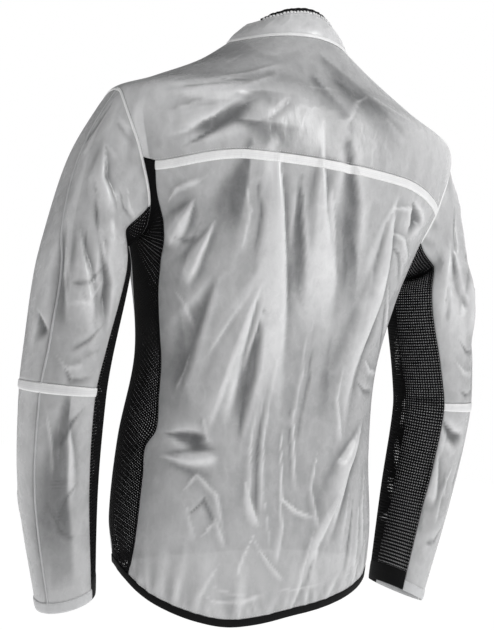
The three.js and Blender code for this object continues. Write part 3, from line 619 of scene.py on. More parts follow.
SLEEVE_PAINTED_SHADING = {
    Side.LEFT: folds("""
40 -1.25 .2 .56 .2 .78 .2 .99
16 .6 .06 .1 .1 .24 .14 .4
6 .8 .067 .225 .093 .273 .12 .334 .152 .396
11 -.6 .152 .241 .178 .301 .202 .36 .233 .404
5 .7 .175 .229 .23 .256 .267 .349 .273 .399
4 .5 .163 .345 .203 .39 .292 .463
5 .8 .145 .18 .192 .199
4 -.6 .21 .109 .273 .12 .347 .071
4 .5 .24 .08 .288 .089 .345 .062
8 .6 .028 .408 .03 .475 .033 .511
8 -.3 .292 .484 .22 .514
5 .6 .057 .065 .14 .026 .173 .001
5 -.5 .078 .062 .143 .039 .193 .016
6 .5 .12 .099 .182 .077
8 .4 .175 .635 .178 .76
9 -.35 .193 .802 .2 .876
8 .5 .9 .2 .84 .28 .8 .34
10 -.45 .93 .26 .88 .34 .82 .4
9 .45 .95 .68 .88 .74 .8 .82
""", Crest.WEDGE, 0.5, 1.45),
    Side.RIGHT: folds("""
36 .55 .25 .1 .22 .3 .22 .5
8 -.35 .287 .049 .298 .184 .33 .256
10 .35 .267 .253 .295 .371
6 -.6 .245 .726 .218 .8
8 -.4 .318 .807 .295 .894
6 .4 .268 .601 .293 .73
8 .5 .95 .18 .9 .26 .85 .33
10 -.45 .96 .3 .9 .36 .83 .4
9 .45 .96 .66 .9 .74 .82 .8
""", Crest.WEDGE, 0.5, 1.45),
}
COLLAR_DRIFT = 0.8  # the collar is double, so whiter all over
FRONT_DROP = 0.04  # the front's painted light and shade is the back's, turned to the front and this far lower


def drifted(lines: Sequence[Fold], shape: Surface, a: Array, b: Array, axis: float = 0.0) -> Array:
    """Strength of the painted light and shade at places on a surface that runs round an upright axis."""
    a, b = np.broadcast_arrays(np.asarray(a, float), np.asarray(b, float))
    p = shape(a, b)
    tone = np.zeros(p.shape[:-1])
    for line in lines:
        tone += line.push(p, shape, axis)
    return tone


@dataclass(frozen=True)
class Gathers:
    """Small pleats that an elastic or a seam draws into the cloth beside it, unevenly spaced and sized.

    Each pleat is a bell across and dies away from that edge. A fixed seed lays them out.
    """

    count: int
    start: float
    end: float
    high: float
    reach: float
    seed: int

    def push(self, along: Array, away: Array) -> Array:
        """Height of all pleats together.

        Args:
            along: place along the edge, in the units of start and end.
            away: distance from the edge, in the units of reach.

        Returns:
            The heights in millimetres.
        """
        rng = np.random.default_rng(self.seed)
        pitch = (self.end - self.start) / self.count
        centres = self.start + pitch * (np.arange(self.count) + rng.uniform(0.15, 0.85, self.count))
        width = pitch * rng.uniform(0.16, 0.40, self.count)
        high = self.high * rng.uniform(0.3, 1.0, self.count)
        reach = self.reach * rng.uniform(0.35, 1.25, self.count)
        lean = pitch * rng.uniform(-1.1, 1.1, self.count)
        out = np.zeros(np.broadcast(along, away).shape)
        for c, s, h, r, k in zip(centres, width, high, reach, lean):
            q = away / r
            spread = s * (1 + 0.7 * q)
            out += h * np.exp(-((along - c - k * q) / spread) ** 2) * np.exp(-q * q * 1.6)
        return out - 0.35 * self.high * np.exp(-(away / self.reach) ** 2 * 1.6)


HEM_GATHERS = Gathers(58, FRONT_FROM, FRONT_TO, 2.6, 0.10, 11)
HEM_GATHERS_FINE = Gathers(110, FRONT_FROM, FRONT_TO, 1.1, 0.05, 12)
HEM_HOLD, HEM_HOLD_REACH = 0.25, 0.02  # share of the gathers at the hem, and the level of the whole
ZIP_CALM = 8  # degrees beside the zip over which the hem's gathers set in
COLLAR_GATHERS = Gathers(22, 20, 160, 0.9, 0.5, 13)
COLLAR_CALM = 14  # degrees at which the collar's gathers set in, and over which they grow
ARMHOLE_GATHERS = {Side.LEFT: Gathers(26, 0.0, 1.0, 1.6, 0.07, 21),
                   Side.RIGHT: Gathers(26, 0.0, 1.0, 1.6, 0.07, 22)}
BODY_HOLD, SLEEVE_START = 0.03, 0.025  # rows over which the body's folds die out and the sleeve's set in
FRILL_DEG = (26.0, 154.0)
COLLAR_CREASES = folds("""
5 1.2 52 .2 66 .75
5 -1.1 72 .15 84 .65
6 1.4 92 .3 112 .62 128 .55
5 1 120 .85 140 .35
4 .9 36 .3 46 .8
5 1 -40 .2 -56 .7
5 1 -142 .25 -126 .7
""", Crest.CRISP, 0.25)


def raised(shape: Surface, lines: Sequence[Fold], a: Array, b: Array, step: tuple[float, float],
           turn: float = 1.0, more: Callable[[Array, Array], Array] | None = None, axis: float = 0.0
           ) -> Array:
    """A surface with its folds: each point moved out along the surface's normal by the folds' heights.

    Args:
        shape: the surface without folds.
        lines: its folds.
        a: first surface coordinate.
        b: second surface coordinate.
        step: steps in a and b for the normal.
        turn: -1 where the cross product of the two directions points in.
        more: further heights as a function of (a, b).
        axis: X of the upright axis that the surface runs round.

    Returns:
        Points in millimetres.
    """
    a, b = np.broadcast_arrays(np.asarray(a, float), np.asarray(b, float))
    p = shape(a, b)
    push = np.zeros(p.shape[:-1])
    for line in lines:
        push += line.push(p, shape, axis)
    if more is not None:
        push += more(a, b)
    du = shape(a + step[0], b) - shape(a - step[0], b)
    dv = shape(a, b + step[1]) - shape(a, b - step[1])
    return p + unit(np.cross(du, dv)) * (push * turn)[..., None]


def body(deg: Array, v: Array) -> Array:
    """The body with all its folds and the hem's gathers."""

    def gathers(a: Array, b: Array) -> Array:
        """Pleats above the hem, which die out at it and beside the zip."""
        deg = from_front(a)
        calm = (smooth(np.minimum(deg - FRONT_FROM, FRONT_TO - deg) / ZIP_CALM)
                * lerp(HEM_HOLD, 1, smooth(b / HEM_HOLD_REACH)))
        return calm * (HEM_GATHERS.push(deg, b) + HEM_GATHERS_FINE.push(deg, b))

    return raised(body_shape, BODY_FOLDS + BODY_CREASES, deg, v, (0.5, 0.002), 1.0, gathers)


def sleeve(side: Side) -> Surface:
    """The surface of one sleeve with its folds; its first row is the body's armhole line."""

    def shape(t: Array, w: Array) -> Array:
        """The sleeve without folds."""
        return sleeve_shape(side, t, w)

    def pleats(t: Array, w: Array) -> Array:
        """Pleats at the armhole."""
        return ARMHOLE_GATHERS[side].push(np.mod(t + 0.5, 1), w)

    def surface(t: Array, w: Array) -> Array:
        """The sleeve with its folds, which start from the folds of the body at the armhole."""
        t, w = np.broadcast_arrays(np.asarray(t, float), np.asarray(w, float))
        row = np.minimum(w, SLEEVE_END)
        own = raised(shape, SLEEVE_FOLDS[side] + SLEEVE_CREASES[side], t, row, (0.004, 0.0005),
                     side.value, pleats, side.value * ARM_X) - shape(t, row)
        deg, v = armhole_at(t)
        deg = on_side(side, deg)
        return (shape(t, w) + own * smooth(w / SLEEVE_START)[..., None]
                + (body(deg, v) - body_shape(deg, v)) * np.exp(-(w / BODY_HOLD) ** 2)[..., None])

    return surface


def collar(deg: Array, h: Array) -> Array:
    """The stand-up collar, with the scallops that its elastic draws into the back of its top."""

    def scallops(a: Array, b: Array) -> Array:
        """Pleats under the elastic, dying away towards the neckline and the front."""
        calm = smooth((a - COLLAR_CALM) / COLLAR_CALM) * smooth((180 - COLLAR_CALM - a) / COLLAR_CALM)
        return calm * COLLAR_GATHERS.push(a, 1 - b)

    return raised(lambda a, b: level(COLLAR, b, a), COLLAR_CREASES, deg, h, (0.5, 0.01), 1.0, scallops)


# Grids of surface coordinates for the panels. Each takes the number of rows and columns.

def spread(count: int) -> Array:
    """Evenly spaced shares from 0 to 1."""
    return np.linspace(0, 1, count + 1)


def yoke_level(deg: Array) -> Array:
    """Level of the yoke seam, which rises a little from the nets to the middle of the back."""
    return YOKE_SEAM + YOKE_RISE * smooth((np.minimum(deg, 180 - deg) - YOKE_DEG) / YOKE_SLOPE)


def net_back_edge(s: Array) -> tuple[Array, Array]:
    """Back edge of the side net, for a share s of the height up to the yoke seam."""
    return read(NET_BACK, 1, s * YOKE_SEAM), s * YOKE_SEAM


def front_edge(k: Array) -> tuple[Array, Array]:
    """Front edge of the side net, for a share k of the height up to the armhole."""
    top_deg, top_v = armhole_at(ARM_STEPS[NET_TOP])
    return lerp(top_deg, NET_FRONT_DEG, smooth((1 - k) * 3)), k * top_v


def chain(parts: Sequence[tuple[Array, Array]]) -> tuple[Array, Array]:
    """Runs of (deg, v) joined end to end, each shared end point taken once."""
    first, *rest = parts
    return (np.concatenate([first[0], *[p[0][1:] for p in rest]]),
            np.concatenate([first[1], *[p[1][1:] for p in rest]]))


def arm_run(first: int, last: int, fine: int) -> tuple[Array, Array]:
    """Run of the armhole between two of its steps, `fine` points to a step."""
    steps = np.linspace(first, last, abs(last - first) * fine + 1)
    return armhole_at(np.interp(steps, np.arange(len(ARM_STEPS)), ARM_STEPS))


def shoulder_run(fine: int) -> tuple[Array, Array]:
    """Shoulder seam, from the armhole to the neckline."""
    deg, v = armhole_at(ARM_STEPS[SHOULDER])
    k = spread(fine)
    return lerp(deg, NECK_DEG, k), lerp(v, 1, k)


def back_grid(rows: int, columns: int) -> tuple[Array, Array]:
    """Back panel: from one net to the other, and from the hem to the yoke seam."""
    s, k = spread(rows)[:, None], spread(columns)[None, :]
    edge, _ = net_back_edge(s)
    return lerp(edge, 180 - edge, k), s * yoke_level(lerp(YOKE_DEG, 180 - YOKE_DEG, k))


def net_grid(side: Side, fine: int, columns: int) -> tuple[Array, Array]:
    """Side net: from the front edge and the armhole to the back panel."""
    front = chain([front_edge(spread(NET_STEPS * fine)), arm_run(NET_TOP, YOKE_CORNER, fine)])
    rows = len(front[0]) - 1
    coarse = np.concatenate([spread(NET_STEPS) * 0.70, lerp(0.70, 0.98, spread(5))[1:], [1.0]])
    back = net_back_edge(np.interp(spread(rows) * (len(coarse) - 1), np.arange(len(coarse)), coarse))
    k = spread(columns)[None, :]
    deg = lerp(front[0][:, None], back[0][:, None], k)
    return on_side(side, deg), lerp(front[1][:, None], back[1][:, None], k)


def centre_deg(x: Array, v: Array) -> Array:
    """Degrees at which the body's front lies x millimetres from its middle."""
    return FRONT_FROM + np.degrees(np.arcsin(x / read(BODY, 1, v)))


def front_grid(side: Side, fine: int, columns: int) -> tuple[Array, Array]:
    """Front panel: from the zip to the net, the armhole and the shoulder seam."""
    edge = chain([front_edge(spread(NET_STEPS * fine)), arm_run(NET_TOP, SHOULDER, fine),
                  shoulder_run(3 * fine)])
    deg, v = edge[0][:, None], edge[1][:, None]
    deg = lerp(centre_deg(ZIP_EDGE, v), deg, spread(columns)[None, :])
    return (deg if side is Side.LEFT else -180 - deg), v + 0 * deg


def yoke_grid(fine: int, columns: int) -> tuple[Array, Array]:
    """Yoke: a patch between its seam below and the neckline, drawn out to the armholes at its sides."""
    side_deg, side_v = chain([arm_run(YOKE_CORNER, 0, fine), arm_run(ARM_LAST, SHOULDER, fine),
                              shoulder_run(3 * fine)])
    corner_deg, corner_v = armhole_at(ARM_STEPS[YOKE_CORNER])
    u, side = spread(columns), YOKE_SIDE
    low_deg = np.interp(u, [0, side, 1 - side, 1],
                        [corner_deg, YOKE_DEG, 180 - YOKE_DEG, 180 - corner_deg])
    low_v = np.where(u < side, lerp(corner_v, YOKE_SEAM, u / side),
                     np.where(u > 1 - side, lerp(YOKE_SEAM, corner_v, (u - 1 + side) / side),
                              yoke_level(low_deg)))
    s = spread(len(side_deg) - 1)[:, None]
    left, right = np.maximum(0, 1 - 2 * u) ** 7, np.maximum(0, 2 * u - 1) ** 7
    extra_deg = side_deg[:, None] - lerp(corner_deg, NECK_DEG, s)
    extra_v = side_v[:, None] - lerp(corner_v, 1, s)
    deg = lerp(low_deg, lerp(NECK_DEG, 180 - NECK_DEG, u), s) + extra_deg * (left - right)
    return deg, lerp(low_v, 1, s) + extra_v * (left + right)


def sleeve_grid(first: str, last: str, start: int, end: int, turns: float,
                rows: Array, columns: int) -> tuple[Array, Array]:
    """Sleeve panel between two of its long seams, meeting the armhole at the steps start to end."""
    w = np.asarray(rows, float)[:, None]
    a = read(SLEEVE_SEAMS, SEAM_COLUMNS.index(first), w)
    b = read(SLEEVE_SEAMS, SEAM_COLUMNS.index(last), w) + turns
    t = lerp(ARM_STEPS[start], ARM_STEPS[end], spread(columns))[None, :]
    k = (t - ARM_STEPS[start]) / (ARM_STEPS[end] - ARM_STEPS[start])
    return lerp(a, b, k), w + 0 * k


def blurred(grid: Array, reach: int) -> Array:
    """Mean of a grid over squares of that many cells each way, taken twice, with its edges drawn on."""
    for axis in (0, 1, 0, 1):
        wide = min(reach, grid.shape[axis] - 2)
        pad = [(wide + 1, wide) if k == axis else (0, 0) for k in range(grid.ndim)]
        total = np.cumsum(np.pad(grid, pad, mode="reflect", reflect_type="odd"), axis)
        first = np.arange(grid.shape[axis])
        count = 2 * wide + 1
        grid = (np.take(total, first + count, axis) - np.take(total, first, axis)) / count
    return grid


# Painted highlight on ridges and painted shade in troughs: the reaches at which a ridge is measured.
TONE_REACHES = ((2, 1.1), (5, 0.26), (11, 0.05))  # cells each way, and what a millimetre counts


@dataclass
class Skin:
    """Grid of points with the normal that points out of the jacket at each, and the painted light and
    shade on the film; on the collar, the whiteness of its doubled cloth.
    """

    points: Array
    normals: Array
    flipped: bool = False
    drift: Array | None = None

    @classmethod
    def of(cls, points: Array, centre: Array, drift: Array | None = None) -> "Skin":
        """Skin over a grid of points, with its normals turned away from centre.

        Args:
            points: grid of points, rows by columns by 3.
            centre: a point, or one point for each row, that the surface faces away from.
            drift: strength of the painted light and shade at each point; on the collar, the whiteness of
                its doubled cloth.

        Returns:
            The skin, with its columns in the order in which its faces point out.
        """
        rows, columns = np.gradient(points, axis=0), np.gradient(points, axis=1)
        normals = unit(np.cross(columns, rows))
        middle = (len(points) // 2, points.shape[1] // 2)
        centre = np.asarray(centre, float)
        centre = centre[middle[0]] if centre.ndim == 2 else centre
        if np.dot(normals[middle], points[middle] - centre) < 0:
            return cls(points[:, ::-1].copy(), -normals[:, ::-1], True,
                       None if drift is None else drift[:, ::-1])
        return cls(points, normals, False, drift)

    def held(self) -> "Skin":
        """The skin with its edges drawn in to leave room for the seams."""
        p = self.points.copy()
        for axis in (0, 1):
            for edge, inner in ((0, 1), (-1, -2)):
                e, q = np.take(p, edge, axis), np.take(p, inner, axis)
                moved = e + unit(q - e) * SEAM
                if axis == 0:
                    p[edge] = moved
                else:
                    p[:, edge] = moved
        return Skin(p, self.normals, self.flipped, self.drift)

    def tone(self) -> Array:
        """Painted light and shade on the film at each point, from -1 to 1: the painted strokes (on the
        collar, the whiteness of its doubled cloth), with a painted highlight on ridges and painted shade
        in troughs.

        A ridge is a point that stands out from the mean of its neighbours, taken at several reaches.
        """
        # Painted shade: points below the mean of their neighbours are darkened, points above it
        # lightened.
        stand = 0.0
        for reach, gain in TONE_REACHES:
            stand = stand + gain * ((self.points - blurred(self.points, reach)) * self.normals).sum(-1)
        drift = 0.0 if self.drift is None else self.drift
        return np.tanh(0.5 * stand + drift)

    def lifted(self, high: Array | float) -> Array:
        """The points moved out along the normals."""
        return self.points + self.normals * (high[..., None] if isinstance(high, np.ndarray) else high)

    def turned(self) -> "Skin":
        """The same skin with rows and columns exchanged."""
        return Skin(self.points.transpose(1, 0, 2), self.normals.transpose(1, 0, 2))

    def strip(self, start: float, end: float, across: int, from_end: bool = False) -> "Skin":
        """Strip beside the first (or last) row, between two distances from it along the columns.

        Each column is measured by arc length and read in a straight line between its points.

        Args:
            start: distance of the strip's near edge from the row.
            end: distance of its far edge.
            across: cells across the strip.
            from_end: whether the distances count from the last row.

        Returns:
            The strip as a skin of its own, with `across` rows of cells.
        """
        points = self.points[::-1] if from_end else self.points
        normals = self.normals[::-1] if from_end else self.normals
        length = np.linalg.norm(np.diff(points, axis=0), axis=-1)
        total = np.concatenate([np.zeros((1, points.shape[1])), np.cumsum(length, axis=0)])
        want = lerp(start, end, spread(across))[:, None]
        index = np.clip((total[None] <= want[:, None]).sum(1) - 1, 0, len(points) - 2)
        column = np.arange(points.shape[1])[None, :]
        k = ((want - total[index, column]) / np.maximum(length[index, column], 1e-6))[..., None]
        p = lerp(points[index, column], points[index + 1, column], k)
        n = unit(lerp(normals[index, column], normals[index + 1, column], np.clip(k, 0, 1)))
        return Skin(p[::-1], n[::-1]) if from_end else Skin(p, n)

    def beside(self, edge: Edge, start: float, end: float, across: int) -> "Skin":
        """Strip beside one edge of the panel, between two distances from it."""
        if edge in (Edge.BOTTOM, Edge.TOP):
            return self.strip(start, end, across, edge is Edge.TOP)
        return self.turned().strip(start, end, across, (edge is Edge.END) != self.flipped)

    def width(self) -> float:
        """Longest row in millimetres."""
        return float(np.linalg.norm(np.diff(self.points, axis=1), axis=-1).sum(1).max())

    def height(self) -> float:
        """Longest column in millimetres."""
        return float(np.linalg.norm(np.diff(self.points, axis=0), axis=-1).sum(0).max())


@dataclass
class Mesh:
    """Vertices in millimetres, faces, UVs and the film's tone (its painted light and shade), put together
    from numpy arrays.
    """

    vertices: Array
    quads: Array
    uv: Array | None = None
    tone: Array | None = None

    def make(self, name: str, material: bpy.types.Material) -> bpy.types.Object:
        """The Blender object, riding on the jacket and with its finish.

        Args:
            name: name of the piece.
            material: its finish.

        Returns:
            The object.
        """
        mesh = bpy.data.meshes.new(name)
        quads = np.asarray(self.quads, np.int32)
        mesh.vertices.add(len(self.vertices))
        mesh.vertices.foreach_set("co", (self.vertices * METRES).astype(np.float32).ravel())
        mesh.loops.add(quads.size)
        mesh.loops.foreach_set("vertex_index", quads.ravel())
        mesh.polygons.add(len(quads))
        mesh.polygons.foreach_set("loop_start", np.arange(0, quads.size, quads.shape[1], dtype=np.int32))
        mesh.polygons.foreach_set("use_smooth", np.ones(len(quads), bool))
        if self.uv is not None:
            layer = mesh.uv_layers.new(name="UVMap")
            layer.data.foreach_set("uv", self.uv[quads.ravel()].astype(np.float32).ravel())
        # The tone attribute carries the painted light and shade into the material.
        if self.tone is not None:
            layer = mesh.attributes.new("tone", "FLOAT", "POINT")
            layer.data.foreach_set("value", self.tone.astype(np.float32).ravel())
        mesh.update(calc_edges=True)
        mesh.validate()
        mesh.materials.append(material)
        piece = bpy.data.objects.new(name, mesh)
        bpy.context.scene.collection.objects.link(piece)
        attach(piece, "root")
        return piece


def grid_index(rows: int, columns: int) -> Array:
    """Vertex numbers of a grid of rows by columns points."""
    return np.arange(rows * columns).reshape(rows, columns)


def cell_corners(grid: Array) -> list[Array]:
    """A grid's values at the four corners of its cells, in turn round each cell."""
    return [grid[:-1, :-1], grid[:-1, 1:], grid[1:, 1:], grid[1:, :-1]]


def grid_quads(index: Array) -> Array:
    """Quads of a grid of vertex numbers, facing where columns run right and rows run up."""
    return np.stack(cell_corners(index), -1).reshape(-1, 4)


def rim_quads(top: Array, bottom: Array) -> Array:
    """Quads that close the edge between two grids of vertex numbers of the same size, top outside."""
    loop = np.concatenate([top[0, :-1], top[:-1, -1], top[-1, :0:-1], top[:0:-1, 0]])
    under = np.concatenate([bottom[0, :-1], bottom[:-1, -1], bottom[-1, :0:-1], bottom[:0:-1, 0]])
    return np.stack([loop, under, np.roll(under, -1), np.roll(loop, -1)], -1)


def flat_uv(points: Array) -> Array:
    """UVs in metres: arc length along the middle row and the middle column of a grid."""
    row, column = points[len(points) // 2], points[:, points.shape[1] // 2]
    grid = np.meshgrid(arc_length(row) * METRES, arc_length(column) * METRES)
    return np.stack(grid, -1).reshape(-1, 2)


def shell(skin: Skin, outer: Array | float, inner: Array | float) -> Mesh:
    """Closed thin wall over a skin, between two heights above it.

    Args:
        skin: the skin.
        outer: height of the outside, one value or one for each point.
        inner: height of the inside.

    Returns:
        The mesh, with UVs in metres.
    """
    rows, columns = skin.points.shape[:2]
    i, j = min(rows // 2, rows - 2), min(columns // 2, columns - 2)
    across, up = skin.points[i, j + 1] - skin.points[i, j], skin.points[i + 1, j] - skin.points[i, j]
    if np.dot(np.cross(across, up), skin.normals[i, j]) < 0:
        drift = None if skin.drift is None else skin.drift[:, ::-1]
        skin = Skin(skin.points[:, ::-1], skin.normals[:, ::-1], skin.flipped, drift)
        outer = outer[:, ::-1] if isinstance(outer, np.ndarray) else outer
    top = grid_index(rows, columns)
    bottom = top + rows * columns
    vertices = np.concatenate([skin.lifted(outer).reshape(-1, 3), skin.lifted(inner).reshape(-1, 3)])
    quads = np.concatenate([grid_quads(top), grid_quads(bottom)[:, ::-1], rim_quads(top, bottom)])
    # Painted light and shade of each point, the same on both faces of the wall.
    uv, tone = flat_uv(skin.points), skin.tone().ravel()
    return Mesh(vertices, quads, np.concatenate([uv, uv]), np.concatenate([tone, tone]))


def net(skin: Skin, rows: int, columns: int, hole: float, thick: float) -> Mesh:
    """Knitted net: a closed sheet with a row of holes in brick order, whose cells follow the skin.

    The skin is read again on a grid of the net's own cells, with every other line shifted by half a cell
    inside the edges. Each cell has a hole with a corner towards the middle of each of its sides.

    Args:
        skin: the skin that the net lies on.
        rows: cells along the skin's columns.
        columns: cells along its rows.
        hole: half width of a hole as a share of the cell.
        thick: thickness of the yarn.

    Returns:
        The mesh.
    """
    v, u = np.meshgrid(np.arange(rows + 1.0), np.arange(columns + 1.0), indexing="ij")
    inside = np.minimum(1, np.minimum(u, columns - u))
    u = u + 0.5 * (v % 2 - 0.5) * inside
    grid_v, grid_u = v / rows * (len(skin.points) - 1), u / columns * (skin.points.shape[1] - 1)

    def at(a: Array, b: Array) -> tuple[Array, Array]:
        """Point and normal of the skin between its grid points (bilinear)."""
        i = np.clip(a.astype(int), 0, len(skin.points) - 2)
        j = np.clip(b.astype(int), 0, skin.points.shape[1] - 2)
        p, q = (a - i)[..., None], (b - j)[..., None]
        both = []
        for x in (skin.points, skin.normals):
            both.append(lerp(lerp(x[i, j], x[i, j + 1], q), lerp(x[i + 1, j], x[i + 1, j + 1], q), p))
        return both[0], unit(both[1])

    corner, corner_normal = at(grid_v, grid_u)
    cv, cu = cell_corners(grid_v), cell_corners(grid_u)
    mid_v, mid_u = sum(cv) / 4, sum(cu) / 4
    holes, hole_normals = [], []
    for k in range(4):
        side_v, side_u = (cv[k] + cv[(k + 1) % 4]) / 2, (cu[k] + cu[(k + 1) % 4]) / 2
        p, n = at(lerp(mid_v, side_v, 2 * hole), lerp(mid_u, side_u, 2 * hole))
        holes.append(p.reshape(-1, 3))
        hole_normals.append(n.reshape(-1, 3))
    flat = np.concatenate([corner.reshape(-1, 3), *holes])
    normal = np.concatenate([corner_normal.reshape(-1, 3), *hole_normals])
    index = grid_index(rows + 1, columns + 1)
    ring = [corners.ravel() for corners in cell_corners(index)]
    cell = np.arange(rows * columns)
    inner = [len(corner.reshape(-1, 3)) + k * rows * columns + cell for k in range(4)]
    shift = len(flat)
    faces, walls = [], []
    for k in range(4):
        a, b, next_ = inner[k], inner[(k + 1) % 4], ring[(k + 1) % 4]
        faces += [np.stack([ring[k], next_, a], -1), np.stack([next_, b, a], -1)]
        walls += [np.stack([a, b, b + shift], -1), np.stack([a, b + shift, a + shift], -1)]
    upper = np.concatenate(faces)
    rim = rim_quads(index, index + shift)
    rim = np.concatenate([rim[:, [0, 1, 2]], rim[:, [0, 2, 3]]])
    vertices = np.concatenate([flat, flat - normal * thick])
    return Mesh(vertices, np.concatenate([upper, upper[:, ::-1] + shift, *walls, rim]))


def band(rail: Array, side: Array, up: Array, profile: Array) -> Mesh:
    """Closed profile carried along a rail, with both ends closed by a fan of quads.

    Args:
        rail: points of the rail.
        side: direction of the profile's first coordinate at each point.
        up: direction of its second coordinate.
        profile: loop of points (side, up), an even number of them.

    Returns:
        The mesh, with U along the rail in metres and V round the profile.
    """
    count, round_ = len(rail), len(profile)
    vertices = rail[:, None] + side[:, None] * profile[None, :, :1] + up[:, None] * profile[None, :, 1:]
    index = grid_index(count, round_)
    index = np.concatenate([index, index[:, :1]], 1)
    quads = grid_quads(index)
    half = round_ // 2
    fan = np.stack([np.arange(half - 1), np.arange(1, half), round_ - 1 - np.arange(1, half),
                    round_ - 1 - np.arange(half - 1)], -1)
    end = fan + (count - 1) * round_
    a, b, c = vertices[1, 0], vertices[0, 0], vertices[0, 1]
    inside = rail[0] + side[0] * profile[:, 0].mean() + up[0] * profile[:, 1].mean()
    quads = np.concatenate([quads, fan[:, ::-1], end])
    if np.dot(np.cross(b - a, c - b), b - inside) < 0:
        quads = quads[:, ::-1]
    along, across = arc_length(rail) * METRES, arc_length(profile) * METRES
    uv = np.stack(np.meshgrid(along, across, indexing="ij"), -1).reshape(-1, 2)
    return Mesh(vertices.reshape(-1, 3), quads, uv)


def rounded(side: tuple[float, float], up: tuple[float, float], corner: float) -> Array:
    """Rounded rectangle of 12 points between two spans."""
    (a, b), (c, d) = side, up
    k = corner * 0.3
    return np.array([[a, c + corner], [a + k, c + k], [a + corner, c], [b - corner, c], [b - k, c + k],
                     [b, c + corner], [b, d - corner], [b - k, d - k], [b - corner, d], [a + corner, d],
                     [a + k, d - k], [a, d - corner]])


def resampled(line: Array, pitch: float) -> tuple[Array, Array]:
    """Places at an even pitch along a line, and the line's direction there.

    Args:
        line: points of the line, with further columns carried along.
        pitch: distance between places in millimetres.

    Returns:
        The values of all columns at the places, and the directions.
    """
    far, step = arc_length(line[:, :3]), 0.4
    count = max(2, int(far[-1] / pitch))
    want = (np.arange(count) + 0.5) * far[-1] / count
    out, ahead, behind = (np.stack([np.interp(place, far, column) for column in line.T], -1)
                          for place in (want, want + step, want - step))
    return out, unit(ahead[:, :3] - behind[:, :3])


def beads(line: Array, normals: Array, pitch: float, shape: Array, faces: Array) -> Mesh:
    """One small solid repeated along a line.

    Args:
        line: points of the line.
        normals: direction away from the cloth at each point.
        pitch: distance between the solids.
        shape: the solid's points (along, across, up).
        faces: its faces.

    Returns:
        The mesh of all of them.
    """
    data, along = resampled(np.concatenate([line, normals], 1), pitch)
    up = unit(data[:, 3:])
    across = unit(np.cross(up, along))
    up = np.cross(along, across)
    frame_ = np.stack([along, across, up], 1)
    vertices = data[:, None, :3] + np.einsum("vk,nkc->nvc", shape, frame_)
    quads = faces[None] + np.arange(len(data))[:, None, None] * len(shape)
    return Mesh(vertices.reshape(-1, 3), quads.reshape(-1, faces.shape[1]))


def stitch_shape(length: float, thick: float) -> tuple[Array, Array]:
    """A stitch: a low bump with three rings of four points, sunk at both ends."""
    ring = np.array([[-0.5, -0.6], [0.5, -0.6], [0.42, 0.5], [-0.42, 0.5]])
    rings = [np.concatenate([np.full((4, 1), x * length), ring * thick * k + [[0, lift]]], 1)
             for x, k, lift in ((-0.5, 0.55, -0.08), (0, 1.0, 0.0), (0.5, 0.55, -0.08))]
    faces = [[4 * r + a, 4 * r + b, 4 * (r + 1) + b, 4 * (r + 1) + a]
             for r in range(2) for a, b in ((1, 0), (2, 1), (3, 2), (0, 3))]
    faces += [[0, 1, 2, 3], [11, 10, 9, 8]]
    return np.concatenate(rings), np.array(faces)[:, ::-1]


# Finishes.

class Value:
    """A shader socket whose arithmetic adds Math nodes to its tree."""

    def __init__(self, tree: "Tree", socket: bpy.types.NodeSocket) -> None:
        """Wraps a socket of a tree."""
        self.tree, self.socket = tree, socket

    def math(self, operation: str, *others: "Value | float") -> "Value":
        """The result of one Math node on this value and others."""
        inputs = {i: x for i, x in enumerate((self, *others))}
        return self.tree.node("ShaderNodeMath", {"operation": operation}, inputs).out()

    def __add__(self, other: "Value | float") -> "Value":
        """Sum."""
        return self.math("ADD", other)

    def __mul__(self, other: "Value | float") -> "Value":
        """Product."""
        return self.math("MULTIPLY", other)

    def __sub__(self, other: "Value | float") -> "Value":
        """Difference."""
        return self.math("SUBTRACT", other)

    def __rsub__(self, other: float) -> "Value":
        """Difference from a number."""
        return self.math("MULTIPLY", -1.0).math("ADD", other)

    def __abs__(self) -> "Value":
        """Absolute value."""
        return self.math("ABSOLUTE")


class Placed:
    """A node that has been added to a tree."""

    def __init__(self, tree: "Tree", node: bpy.types.Node) -> None:
        """Wraps a node of a tree."""
        self.tree, self.node = tree, node

    def out(self, name: str | int = 0) -> Value:
        """One of its outputs."""
        return Value(self.tree, self.node.outputs[name])


